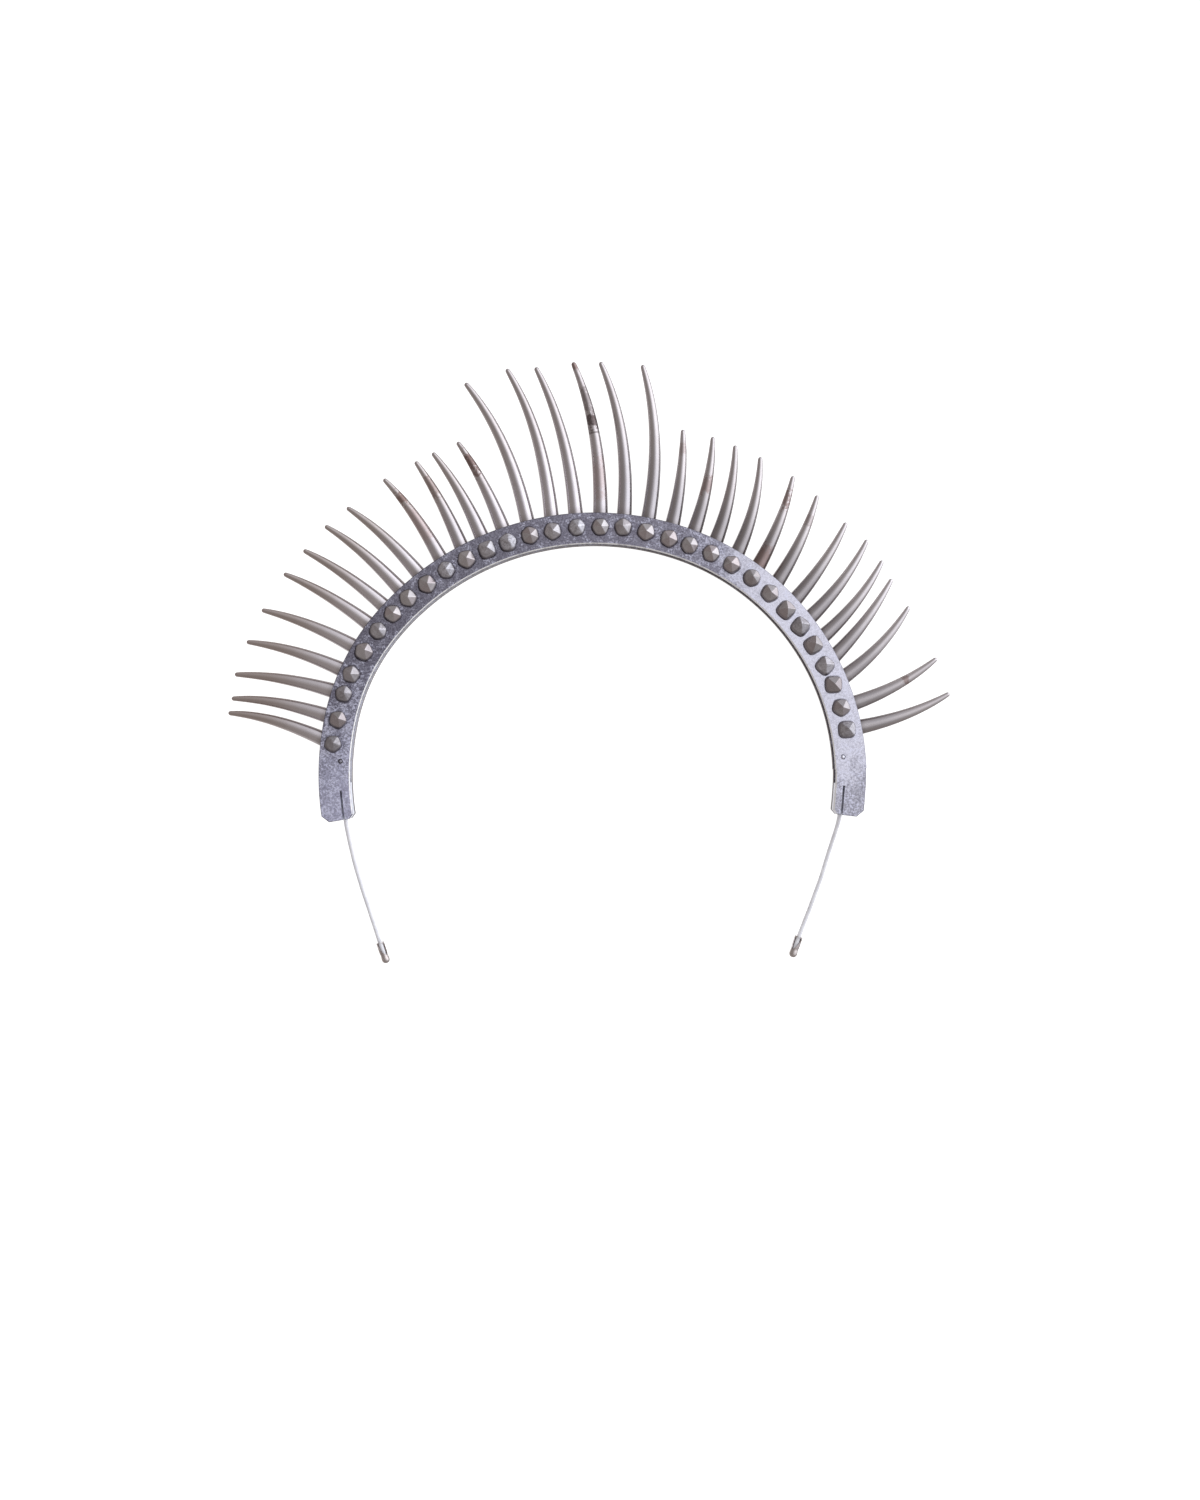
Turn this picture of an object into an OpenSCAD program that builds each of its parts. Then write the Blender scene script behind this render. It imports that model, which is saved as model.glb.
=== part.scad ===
// Diadem: two arched metal strips hold thirty-two curved spikes, each fixed by a stud that is its rivet.
// It lies flat on its back. The origin is the centre of the arch on the resting plane, +Y is the crown.

/* [Arch] */
// Radius of the band's middle line along the left leg
left_leg_r = 82; // [78:1:88]
// Radius of the middle line round the left shoulder
left_shoulder_r = 64; // [60:1:70]
// Radius of the middle line over the crown
crown_r = 82; // [80:1:86]
// Radius of the middle line round the right shoulder
right_shoulder_r = 74.5; // [72:0.5:78]
// Radius of the soft bend above the right tab
tab_bend_r = 50; // [35:1:70]
// Radius of the middle line along the right tab
right_tab_r = 150; // [100:5:300]

/* [Band] */
// Width of the band
band_w = 9.4; // [8.6:0.1:10.4]
// Width of the right tab
tab_w = 9.1; // [8.6:0.1:9.4]
// Thickness of the front and the back strip
sheet_t = 1; // [0.8:0.1:1.4]
// Space between the strips
space_h = 4.6; // [4.6:0.1:6]
// Cut across the outer corner of each tab
outer_cut = 2; // [0.5:0.1:3]
// Cut across the inner corner of each tab
inner_cut = 1.3; // [0.5:0.1:2]

/* [Spikes] */
// Diameter of a spike at its root
root_d = 4.5; // [3.6:0.1:4.5]
// Diameter of a spike just below its round tip
tip_d = 1.2; // [0.8:0.1:2]
// Length of a root inside its rivet
root_tail = 2.6; // [2:0.1:3]

/* [Studs] */
// Width of a stud across its belt
stud_w = 5.3; // [4.4:0.1:5.6]
// Height of a stud over the front strip
stud_h = 3; // [2:0.1:4]
// Height of a stud's belt
belt_h = 0.9; // [0.5:0.1:1.5]
// Diameter of the rivet shank under a stud
shank_d = 2; // [1.2:0.1:2.2]
// Diameter of the small flush pin in each leg
pin_d = 1.3; // [1:0.1:1.6]

/* [Cords] */
// Diameter of a cord
cord_d = 1.35; // [1:0.05:1.4]
// Diameter of the cord's channel in the end block
channel_d = 1.6; // [1.5:0.05:2.4]
// Depth of the channel
channel_len = 8; // [7.6:0.1:9]
// Width of the saw cut over the channel
slit_w = 0.5; // [0.3:0.1:0.8]
// Length of the saw cut
slit_len = 8.8; // [6:0.1:10]
// Length of the left end block along the band
left_block_len = 11.4; // [10:0.1:12]
// Length of the right end block along the band
right_block_len = 9.6; // [9.4:0.1:9.6]
// Length of a crimp
crimp_len = 6.3; // [5.5:0.1:8]
// Diameter of a crimp
crimp_d = 2.4; // [2.2:0.1:2.4]

/* [Hidden] */
// Gap between pieces that lie on each other
seat_gap = 0.05;
// Gap round a shank or pin in its hole
hole_gap = 0.05;
// Facets of a full circle
fine = 96;
small_fine = 32;

// Underside and face of the front strip, and the level of the spikes' middle
front_z = sheet_t + space_h;
face_z = front_z + sheet_t;
mid_z = sheet_t + space_h / 2;

// Bends of the band from the left tab to the right one, each up to where the next one starts
// [direction that the band faces where the bend starts, radius of the middle line, width]
STARTS = 0;
RADIUS = 1;
WIDTH = 2;
BENDS = [
    [189.6, left_leg_r, band_w],
    [168, left_shoulder_r, band_w],
    [140, crown_r, band_w],
    [71, right_shoulder_r, band_w],
    [2, tab_bend_r, tab_w],
    [-3, right_tab_r, tab_w],
    [-6.7, right_tab_r, tab_w],
];
crown = 2;
crown_centre = [0.8, -4.6];
band_end = len(BENDS) - 1;

// Spikes from left to right
// [place round the arch, rivet's distance outside the middle line, degrees that the spike sweeps round to its
// tip, degrees that its middle hangs back, distance of its tip from the arch's centre]
PLACE = 0;
OUT = 1;
SWEEP = 2;
BOW = 3;
REACH = 4;
SPIKES = [
    [170.8, 0.9, -2.1, 1.2, 112],
    [165.4, 0.6, 1, 0.8, 112],
    [159.7, 0.9, 3, 0.5, 113],
    [155.1, 0.9, 2.3, 0.7, 113],
    [149.6, 0.7, 2.4, 0.6, 113],
    [144.1, 0.7, 1.4, 0.6, 113],
    [139.2, 0.7, 1.6, 0.6, 112.5],
    [134.4, 0.7, 1.4, 0.7, 112.5],
    [129.3, 0.3, 2.1, 0.7, 112],
    [124, 0.4, 0.2, 0.8, 112],
    [119, 0.1, -0.4, 0.7, 111.5],
    [114, 0, 1.6, 0.7, 111.5],
    [109.1, -0.2, 2.3, 0.6, 111.5],
    [103.9, 0.1, 3.6, 1.4, 127.5],
    [98.8, 0, 2.8, 1.4, 128.5],
    [93.4, 0.3, 4.3, 1, 127.5],
    [88.2, 0.3, 4.4, 1.1, 128],
    [83.1, 0.6, 5.8, 1.2, 128],
    [78, 0.3, 5.2, 1.2, 128],
    [72.7, -0.1, 3, 0.5, 111],
    [68, -0.1, 2.9, 0.6, 111.5],
    [62.9, 0.2, 4.3, 0.7, 111.5],
    [57.7, 0.2, 5.2, 0.8, 111.5],
    [52.5, 0.2, 4.5, 0.5, 111.5],
    [47.3, 0.1, 4.9, 0.5, 111],
    [42.2, -0.1, 3.8, 0.5, 110.5],
    [37.4, 0, 4.4, 0.7, 111.5],
    [32.5, 0, 5.3, 0.7, 111],
    [27.3, 0.1, 7.3, 0.3, 110],
    [22.8, 0.1, 6.7, 0.7, 110],
    [17.5, 0, 2.8, 0.8, 111],
    [12.5, 0.1, 2, 0.8, 111.5],
];
spikes_count = len(SPIKES);
half_count = spikes_count / 2;

// A spike with a longer reach than this is one of the long ones, which keep their girth further out
long_reach = 120;
short_taper = 0.75;
long_taper = 0.6;
spike_sides = 12;
spike_steps = 7;

// Worn ends of a spike: [distance from its very end, part of its radius there]
root_edge = [0.3, 0.9];
tip_dome = [0.24, 0.8];
tip_flat = 0.3;

// Head of a stud: foot, flat top and the top's offset as parts of its belt, and how uneven its corners are
stud_sides = 6;
stud_foot = 0.94;
stud_top = 0.08;
stud_lean = 0.12;
stud_uneven = 0.05;

// Degrees from one stud to the next, so that no two are turned or cut alike
stud_turn = 77;
lean_turn = 131;
corner_turn = 137;

// Tabs, left and right
// [bend that ends in the tab, end of the band, side that the band lies on, slit's distance inside the middle
// line, pin's place round the arch, pin's distance inside the middle line, length of the end block]
TAB_BEND = 0;
TAB_END = 1;
TAB_SIDE = 2;
SLIT_IN = 3;
PIN_PLACE = 4;
PIN_IN = 5;
BLOCK_LEN = 6;
TABS = [
    [0, 0, -1, 1.8, 174.4, 1.8, left_block_len],
    [5, 6, 1, 2, 6.6, 2.1, right_block_len],
];

// Routes of the cords, from the bottom of the channel to the inside of the crimp
CORD_ROUTES = [
    [
        [-75.3, -2.8, 3.3], [-75, -5.5, 3.3], [-74.7, -8, 3.3], [-74.4, -10.2, 3.3], [-74.1, -12.5, 3.1],
        [-73.7, -15, 2.5], [-73.3, -17.5, 1.7], [-72.8, -20, 1.1], [-72.2, -22.7, 0.8], [-71.4, -25.7, 0.7],
        [-70.5, -28.7, 0.7], [-69.6, -31.7, 0.7], [-68.6, -34.7, 0.7], [-67.6, -37.7, 0.7], [-66.6, -40.8, 0.7],
        [-65.6, -43.8, 0.8], [-64.7, -46.4, 1.1], [-64, -48.4, 1.2], [-62.9, -51.6, 1.2],
    ],
    [
        [75.5, -1.2, 3.3], [75.3, -3.7, 3.3], [75.1, -6.2, 3.3], [74.8, -8.7, 3.3], [74.3, -11.2, 3.1],
        [73.6, -13.9, 2.5], [72.8, -16.7, 1.7], [72, -19.5, 1.1], [71.1, -22.5, 0.8], [70.2, -25.6, 0.7],
        [69.2, -28.7, 0.7], [68.1, -31.7, 0.7], [67, -34.7, 0.7], [65.9, -37.7, 0.7], [64.7, -40.7, 0.7],
        [63.7, -43.3, 0.8], [62.9, -45.3, 1.1], [62.3, -46.9, 1.2], [61.3, -49.9, 1.2],
    ],
];
cord_sides = 8;

// Where the crimps start and the way that they point, in degrees
CRIMP_STARTS = [[-64.3, -47.6], [62.7, -45.8]];
CRIMP_HEADINGS = [-71, -108.5];
crimp_bore = 1.5;
crimp_bore_len = 5;
crimp_seam_w = 0.7;
crimp_seam_len = 3.4;

sheet_colour = [0.66, 0.66, 0.72];
cast_colour = [0.56, 0.52, 0.49];
stud_colour = [0.5, 0.46, 0.44];
cord_colour = [0.93, 0.93, 0.94];
crimp_colour = [0.72, 0.68, 0.66];

function spike_name(i) = str("spike_", i < 10 ? "0" : "", i);

// A step of one millimetre towards a direction given in degrees
function towards(angle) = [cos(angle), sin(angle)];

// The direction of a point from the origin, from -90 up to 270 degrees
function direction_of(p) = (atan2(p[1], p[0]) + 450) % 360 - 90;

// The step from the centre of the bend before bend i to its own. They meet without a kink, so the step runs along
// the line through their joint.
function centre_step(i) = (BENDS[i - 1][RADIUS] - BENDS[i][RADIUS]) * towards(BENDS[i][STARTS]);

// Centre of bend i, counted outwards from the crown
function bend_centre(i) =
    i == crown ? crown_centre
    : i < crown ? bend_centre(i + 1) - centre_step(i + 1)
    : bend_centre(i - 1) + centre_step(i);

// A point of bend i that faces a direction, some way outside the middle line
function bend_point(i, facing, out = 0) = bend_centre(i) + (BENDS[i][RADIUS] + out) * towards(facing);

// The middle line's point where bend i starts
function joint(i) = bend_point(min(i, band_end - 1), BENDS[i][STARTS]);

// The bend that a place round the arch lies on
function bend_at(place, i = 0) =
    i == band_end - 1 || place > direction_of(joint(i + 1)) ? i : bend_at(place, i + 1);

// Distance of the band's line from the origin at a place round the arch, some way outside the middle line
function band_r(place, out = 0) =
    let (
        i = bend_at(place),
        c = bend_centre(i),
        d = towards(place),
        along = c[0] * d[0] + c[1] * d[1],
        across = c[0] * d[1] - c[1] * d[0]
    )
    along + sqrt(pow(BENDS[i][RADIUS] + out, 2) - across * across);

function band_point(place, out = 0) = band_r(place, out) * towards(place);

// Degrees that the band turns for each millimetre up from the end of a tab
function turn_per_mm(tab) = tab[TAB_SIDE] * 180 / PI / BENDS[tab[TAB_BEND]][RADIUS];

// A point of a tab, some millimetres up from its end and outside the middle line
function tab_point(tab, up, out) =
    bend_point(tab[TAB_BEND], BENDS[tab[TAB_END]][STARTS] + turn_per_mm(tab) * up, out);

// A point of spike s: t is 0 at its rivet and 1 at its tip
function spike_point(s, t) =
    let (start = band_r(s[PLACE], s[OUT]))
    (start + (s[REACH] - start) * t) * towards(s[PLACE] + s[SWEEP] * t - 4 * s[BOW] * t * (1 - t));

// Half the thickness of spike s: even up to the band's edge, then tapering to the tip
function spike_half(s, t, edge) =
    let (to_go = (1 - t) / (1 - edge), taper = s[REACH] > long_reach ? long_taper : short_taper)
    t <= edge ? root_d / 2 : tip_d / 2 + (root_d - tip_d) / 2 * pow(to_go, taper);

// The rings of spike s, each [t, half thickness]: root, rivet, band's edge, the taper, and the round tip
function spike_rings(s) =
    let (
        start = band_r(s[PLACE], s[OUT]),
        run = s[REACH] - start,
        edge = (band_r(s[PLACE], band_w / 2) - start) / run,
        dome = 1 - tip_d / 2 / run
    )
    concat(
        [
            [-root_tail / run, root_d / 2 * root_edge[1]],
            [(root_edge[0] - root_tail) / run, root_d / 2],
            [edge, root_d / 2],
        ],
        [
            for (k = [1 : spike_steps])
                let (t = edge + (dome - edge) * k / spike_steps)
                [t, spike_half(s, t, edge)]
        ],
        [[1 - tip_dome[0] / run, tip_d / 2 * tip_dome[1]], [1, tip_d / 2 * tip_flat]]
    );

// Moves in two steps, thousandths first, so that neighbouring bends meet without a step
function thousandths(p) = [round(p[0] * 1000), round(p[1] * 1000)] / 1000;
module move_to(p) {
    translate(thousandths(p))
        translate(p - thousandths(p))
            children();
}

// A closed tube through rings of points with the same count in each
module skin(rings) {
    n = len(rings[0]);
    m = len(rings);
    polyhedron(
        points = [for (ring = rings) each ring],
        faces = concat(
            [[for (k = [n - 1 : -1 : 0]) k]],
            [
                for (j = [0 : m - 2], k = [0 : n - 1], h = [0, 1])
                    let (a = j * n + k, b = j * n + (k + 1) % n)
                    h == 0 ? [a, b, b + n] : [a, b + n, a + n]
            ],
            [[for (k = [0 : n - 1]) (m - 1) * n + k]]
        )
    );
}

// A flat bar between two points, seen from above
module bar(p, q, w) {
    d = (q - p) / norm(q - p);
    side = [-d[1], d[0]] * w / 2;
    polygon([p - side, q - side, q + side, p + side]);
}

// One bend of the band, seen from above
module bend_plan(i) {
    a = BENDS[i][STARTS];
    b = BENDS[i + 1][STARTS];
    w = BENDS[i][WIDTH];
    reach = w + 3;
    middle = (a + b) / 2;
    intersection() {
        move_to(bend_centre(i)) difference() {
            circle(r = BENDS[i][RADIUS] + w / 2, $fn = 2 * fine);
            circle(r = BENDS[i][RADIUS] - w / 2, $fn = 2 * fine);
        }
        polygon([
            joint(i) - reach * towards(a),
            joint(i) + reach * towards(a),
            bend_point(i, middle, 2.5 * reach),
            joint(i + 1) + reach * towards(b),
            joint(i + 1) - reach * towards(b),
            bend_point(i, middle, -min(2.5 * reach, BENDS[i][RADIUS] - 1)),
        ]);
    }
}

// The cut across a corner of a tab: side is 1 for the outer corner and -1 for the inner one
module corner_cut(tab, side, cut) {
    end = tab[TAB_END];
    x = towards(BENDS[end][STARTS]);
    y = towards(BENDS[end][STARTS] + 90 * tab[TAB_SIDE]);
    edge = BENDS[tab[TAB_BEND]][WIDTH] / 2;
    polygon([
        joint(end) + side * (edge - cut - 1) * x - y,
        joint(end) + side * (edge + 1) * x + (cut + 1) * y,
        joint(end) + side * (edge + 1) * x - y,
    ]);
}

// The saw cut in a tab, from just past its end to its full length
module slit_plan(tab) {
    p = tab_point(tab, 0, -tab[SLIT_IN]);
    q = tab_point(tab, slit_len, -tab[SLIT_IN]);
    bar(p - (q - p) / norm(q - p), q, slit_w);
}

// The whole band, seen from above, with its cut corners and the holes for shanks and pins
module band_plan() {
    difference() {
        for (i = [0 : band_end - 1]) bend_plan(i);
        for (tab = TABS) {
            corner_cut(tab, 1, outer_cut);
            corner_cut(tab, -1, inner_cut);
            translate(band_point(tab[PIN_PLACE], -tab[PIN_IN]))
                circle(d = pin_d + 2 * hole_gap, $fn = small_fine);
        }
        for (s = SPIKES)
            translate(band_point(s[PLACE], s[OUT])) circle(d = shank_d + 2 * hole_gap, $fn = small_fine);
    }
}

module front_plate() {
    color(sheet_colour)
        translate([0, 0, front_z])
            linear_extrude(height = sheet_t)
                difference() {
                    band_plan();
                    for (tab = TABS) slit_plan(tab);
                }
}

module back_plate() {
    color(sheet_colour)
        linear_extrude(height = sheet_t)
            band_plan();
}

// The solid end between the strips, with a saw cut down to the channel that holds the cord
module end_block(tab) {
    length = tab[BLOCK_LEN];
    p = tab_point(tab, 0, -tab[SLIT_IN]);
    q = tab_point(tab, channel_len, -tab[SLIT_IN]);
    d = (q - p) / norm(q - p);
    color(sheet_colour)
        difference() {
            translate([0, 0, sheet_t + seat_gap])
                linear_extrude(height = space_h - 2 * seat_gap)
                    difference() {
                        intersection() {
                            bend_plan(tab[TAB_BEND]);
                            polygon([
                                tab_point(tab, -length, -band_w),
                                tab_point(tab, -length, band_w),
                                tab_point(tab, length, band_w),
                                tab_point(tab, length, -band_w),
                            ]);
                        }
                        corner_cut(tab, 1, outer_cut);
                        corner_cut(tab, -1, inner_cut);
                    }
            translate([0, 0, mid_z])
                linear_extrude(height = space_h)
                    slit_plan(tab);
            translate([p[0] - d[0], p[1] - d[1], mid_z])
                rotate([0, 90, atan2(d[1], d[0])])
                    cylinder(d = channel_d, h = 1 + norm(q - p), $fn = small_fine);
        }
}

module end_block_left() {
    end_block(TABS[0]);
}

module end_block_right() {
    end_block(TABS[1]);
}

// A curved spike with a hole for its rivet through the root
module spike(s) {
    rings = spike_rings(s);
    rivet = band_point(s[PLACE], s[OUT]);
    color(cast_colour)
        difference() {
            skin([
                for (ring = rings)
                    let (
                        t = ring[0],
                        centre = spike_point(s, t),
                        ahead = spike_point(s, t + 0.01) - spike_point(s, t - 0.01),
                        side = [ahead[1], -ahead[0]] / norm(ahead)
                    )
                    [
                        for (k = [0 : spike_sides - 1])
                            let (a = 360 * (k + 0.5) / spike_sides, x = ring[1] * cos(a) * side)
                            [centre[0] + x[0], centre[1] + x[1], mid_z + ring[1] * sin(a)]
                    ]
            ]);
            translate([rivet[0], rivet[1], 0])
                cylinder(d = shank_d + 4 * hole_gap, h = face_z, $fn = small_fine);
        }
}

// One level of a stud's head: its height, half width, how far it leans and how uneven its corners are
function stud_ring(number, z, r, lean, uneven) = [
    for (k = [0 : stud_sides - 1])
        let (
            corner_r = r * (1 + uneven * sin(corner_turn * (k + 3 * number))),
            corner = corner_r * towards(stud_turn * number - 360 * k / stud_sides),
            p = corner + lean * towards(lean_turn * number)
        )
        [p[0], p[1], z]
];

// A hand-cut head on its rivet shank
module stud(s, number) {
    seat = band_point(s[PLACE], s[OUT]);
    belt_r = stud_w / 2;
    translate([seat[0], seat[1], 0]) {
        translate([0, 0, face_z + seat_gap])
            skin([
                stud_ring(number, 0, stud_foot * belt_r, 0, stud_uneven),
                stud_ring(number, belt_h, belt_r, 0, stud_uneven),
                stud_ring(number, stud_h, stud_top * belt_r, stud_lean * belt_r, 0),
            ]);
        translate([0, 0, 2 * seat_gap])
            cylinder(d = shank_d, h = face_z + belt_h / 2, $fn = small_fine);
    }
}

module studs_left() {
    color(stud_colour)
        for (i = [0 : half_count - 1]) stud(SPIKES[i], i);
}

module studs_right() {
    color(stud_colour)
        for (i = [half_count : spikes_count - 1]) stud(SPIKES[i], i);
}

module pin(tab) {
    at = band_point(tab[PIN_PLACE], -tab[PIN_IN]);
    color(sheet_colour)
        translate([at[0], at[1], seat_gap])
            cylinder(d = pin_d, h = face_z - 2 * seat_gap, $fn = small_fine);
}

module pin_left() {
    pin(TABS[0]);
}

module pin_right() {
    pin(TABS[1]);
}

// A cord swept along its route
module cord(route) {
    count = len(route);
    color(cord_colour)
        skin([
            for (j = [0 : count - 1])
                let (
                    ahead = route[min(j + 1, count - 1)] - route[max(j - 1, 0)],
                    side = cross(ahead, [0, 0, 1]) / norm(cross(ahead, [0, 0, 1])),
                    up = cross(side, ahead) / norm(ahead)
                )
                [
                    for (k = [0 : cord_sides - 1])
                        let (a = 360 * (k + 0.5) / cord_sides)
                        route[j] + cord_d / 2 * (cos(a) * side + sin(a) * up)
                ]
        ]);
}

module cord_left() {
    cord(CORD_ROUTES[0]);
}

module cord_right() {
    cord(CORD_ROUTES[1]);
}

// A metal end folded round the cord, with an open seam on top
module crimp(number) {
    start = CRIMP_STARTS[number];
    color(crimp_colour)
        translate([start[0], start[1], crimp_d / 2])
            rotate([0, 90, CRIMP_HEADINGS[number]])
                difference() {
                    union() {
                        cylinder(d = crimp_d, h = crimp_len - crimp_d / 2, $fn = fine);
                        translate([0, 0, crimp_len - crimp_d / 2]) sphere(d = crimp_d, $fn = fine);
                    }
                    translate([0, 0, -1])
                        cylinder(d = crimp_bore, h = crimp_bore_len + 1, $fn = small_fine);
                    translate([-crimp_d, -crimp_seam_w / 2, -1])
                        cube([crimp_d, crimp_seam_w, crimp_seam_len + 1]);
                }
}

module crimp_left() {
    crimp(0);
}

module crimp_right() {
    crimp(1);
}

front_plate();
back_plate();
end_block_left();
end_block_right();
for (i = [0 : spikes_count - 1]) spike(SPIKES[i]);
studs_left();
studs_right();
pin_left();
pin_right();
cord_left();
cord_right();
crimp_left();
crimp_right();
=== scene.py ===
"""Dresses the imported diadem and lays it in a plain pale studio.

Every size is in millimetres on the CAD part's own plan and is turned into metres where a mesh is made. The
band's middle line, the rows of spikes and the routes of the cords repeat the part's values, so each piece
lies where its solid does.
"""
import logging
import math
from collections.abc import Iterable, Sequence
from dataclasses import dataclass, field
from enum import Enum

import bmesh
import bpy
from mathutils import Matrix, Vector, geometry


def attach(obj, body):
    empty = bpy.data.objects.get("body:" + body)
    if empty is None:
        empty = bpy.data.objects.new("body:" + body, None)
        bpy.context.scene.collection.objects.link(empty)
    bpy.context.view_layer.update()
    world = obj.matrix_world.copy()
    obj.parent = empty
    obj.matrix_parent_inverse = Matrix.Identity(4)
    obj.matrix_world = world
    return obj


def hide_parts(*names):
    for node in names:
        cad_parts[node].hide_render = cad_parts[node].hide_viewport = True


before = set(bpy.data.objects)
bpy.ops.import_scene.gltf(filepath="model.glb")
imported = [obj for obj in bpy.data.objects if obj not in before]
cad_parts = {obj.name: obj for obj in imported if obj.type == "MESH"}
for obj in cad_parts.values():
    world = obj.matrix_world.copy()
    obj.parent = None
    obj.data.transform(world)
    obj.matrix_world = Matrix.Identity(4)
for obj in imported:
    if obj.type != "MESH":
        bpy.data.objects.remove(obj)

LOG = logging.getLogger("diadem")
MM = 0.001
QUARTER_TURN = 90.0
HALF_TURN = 180.0
FULL_TURN = 360.0
BORE_SIDES = 28
SHANK_WIDTH = 2.0
PIN_WIDTH = 1.3
BODY = "root"

Colour = tuple[float, float, float]


class Side(Enum):
    """The two ends of the band."""

    LEFT = "left"
    RIGHT = "right"


def towards(degrees: float) -> Vector:
    """Returns the unit step towards a direction given in degrees."""
    return Vector((math.cos(math.radians(degrees)), math.sin(math.radians(degrees))))


def bearing(spot: Vector) -> float:
    """Returns the direction from the origin to a point in degrees, counted from -90 at the bottom to 270."""
    direction = math.degrees(math.atan2(spot.y, spot.x))
    return (direction + (FULL_TURN + QUARTER_TURN)) % FULL_TURN - QUARTER_TURN


class Value:
    """An output of a node that sums can be written with."""

    def __init__(self, bench: "NodeBench", socket: bpy.types.NodeSocket) -> None:
        """Keeps the bench that the node stands on and the socket."""
        self.bench = bench
        self.socket = socket

    def __add__(self, other: "Feed") -> "Value":
        """Returns this plus the other."""
        return self.bench.maths("ADD", self, other)

    def __sub__(self, other: "Feed") -> "Value":
        """Returns this less the other."""
        return self.bench.maths("SUBTRACT", self, other)

    def __rsub__(self, other: "Feed") -> "Value":
        """Returns the other less this."""
        return self.bench.maths("SUBTRACT", other, self)

    def __mul__(self, other: "Feed") -> "Value":
        """Returns this times the other."""
        return self.bench.maths("MULTIPLY", self, other)

    def __truediv__(self, other: "Feed") -> "Value":
        """Returns this divided by the other."""
        return self.bench.maths("DIVIDE", self, other)

    def __rtruediv__(self, other: "Feed") -> "Value":
        """Returns the other divided by this."""
        return self.bench.maths("DIVIDE", other, self)

    def __pow__(self, other: "Feed") -> "Value":
        """Returns this to the power of the other."""
        return self.bench.maths("POWER", self, other)

    __radd__ = __add__


Feed = Value | float | int | bool | str | Sequence[float] | bpy.types.Material
Inputs = dict[str | int, Feed]


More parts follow.
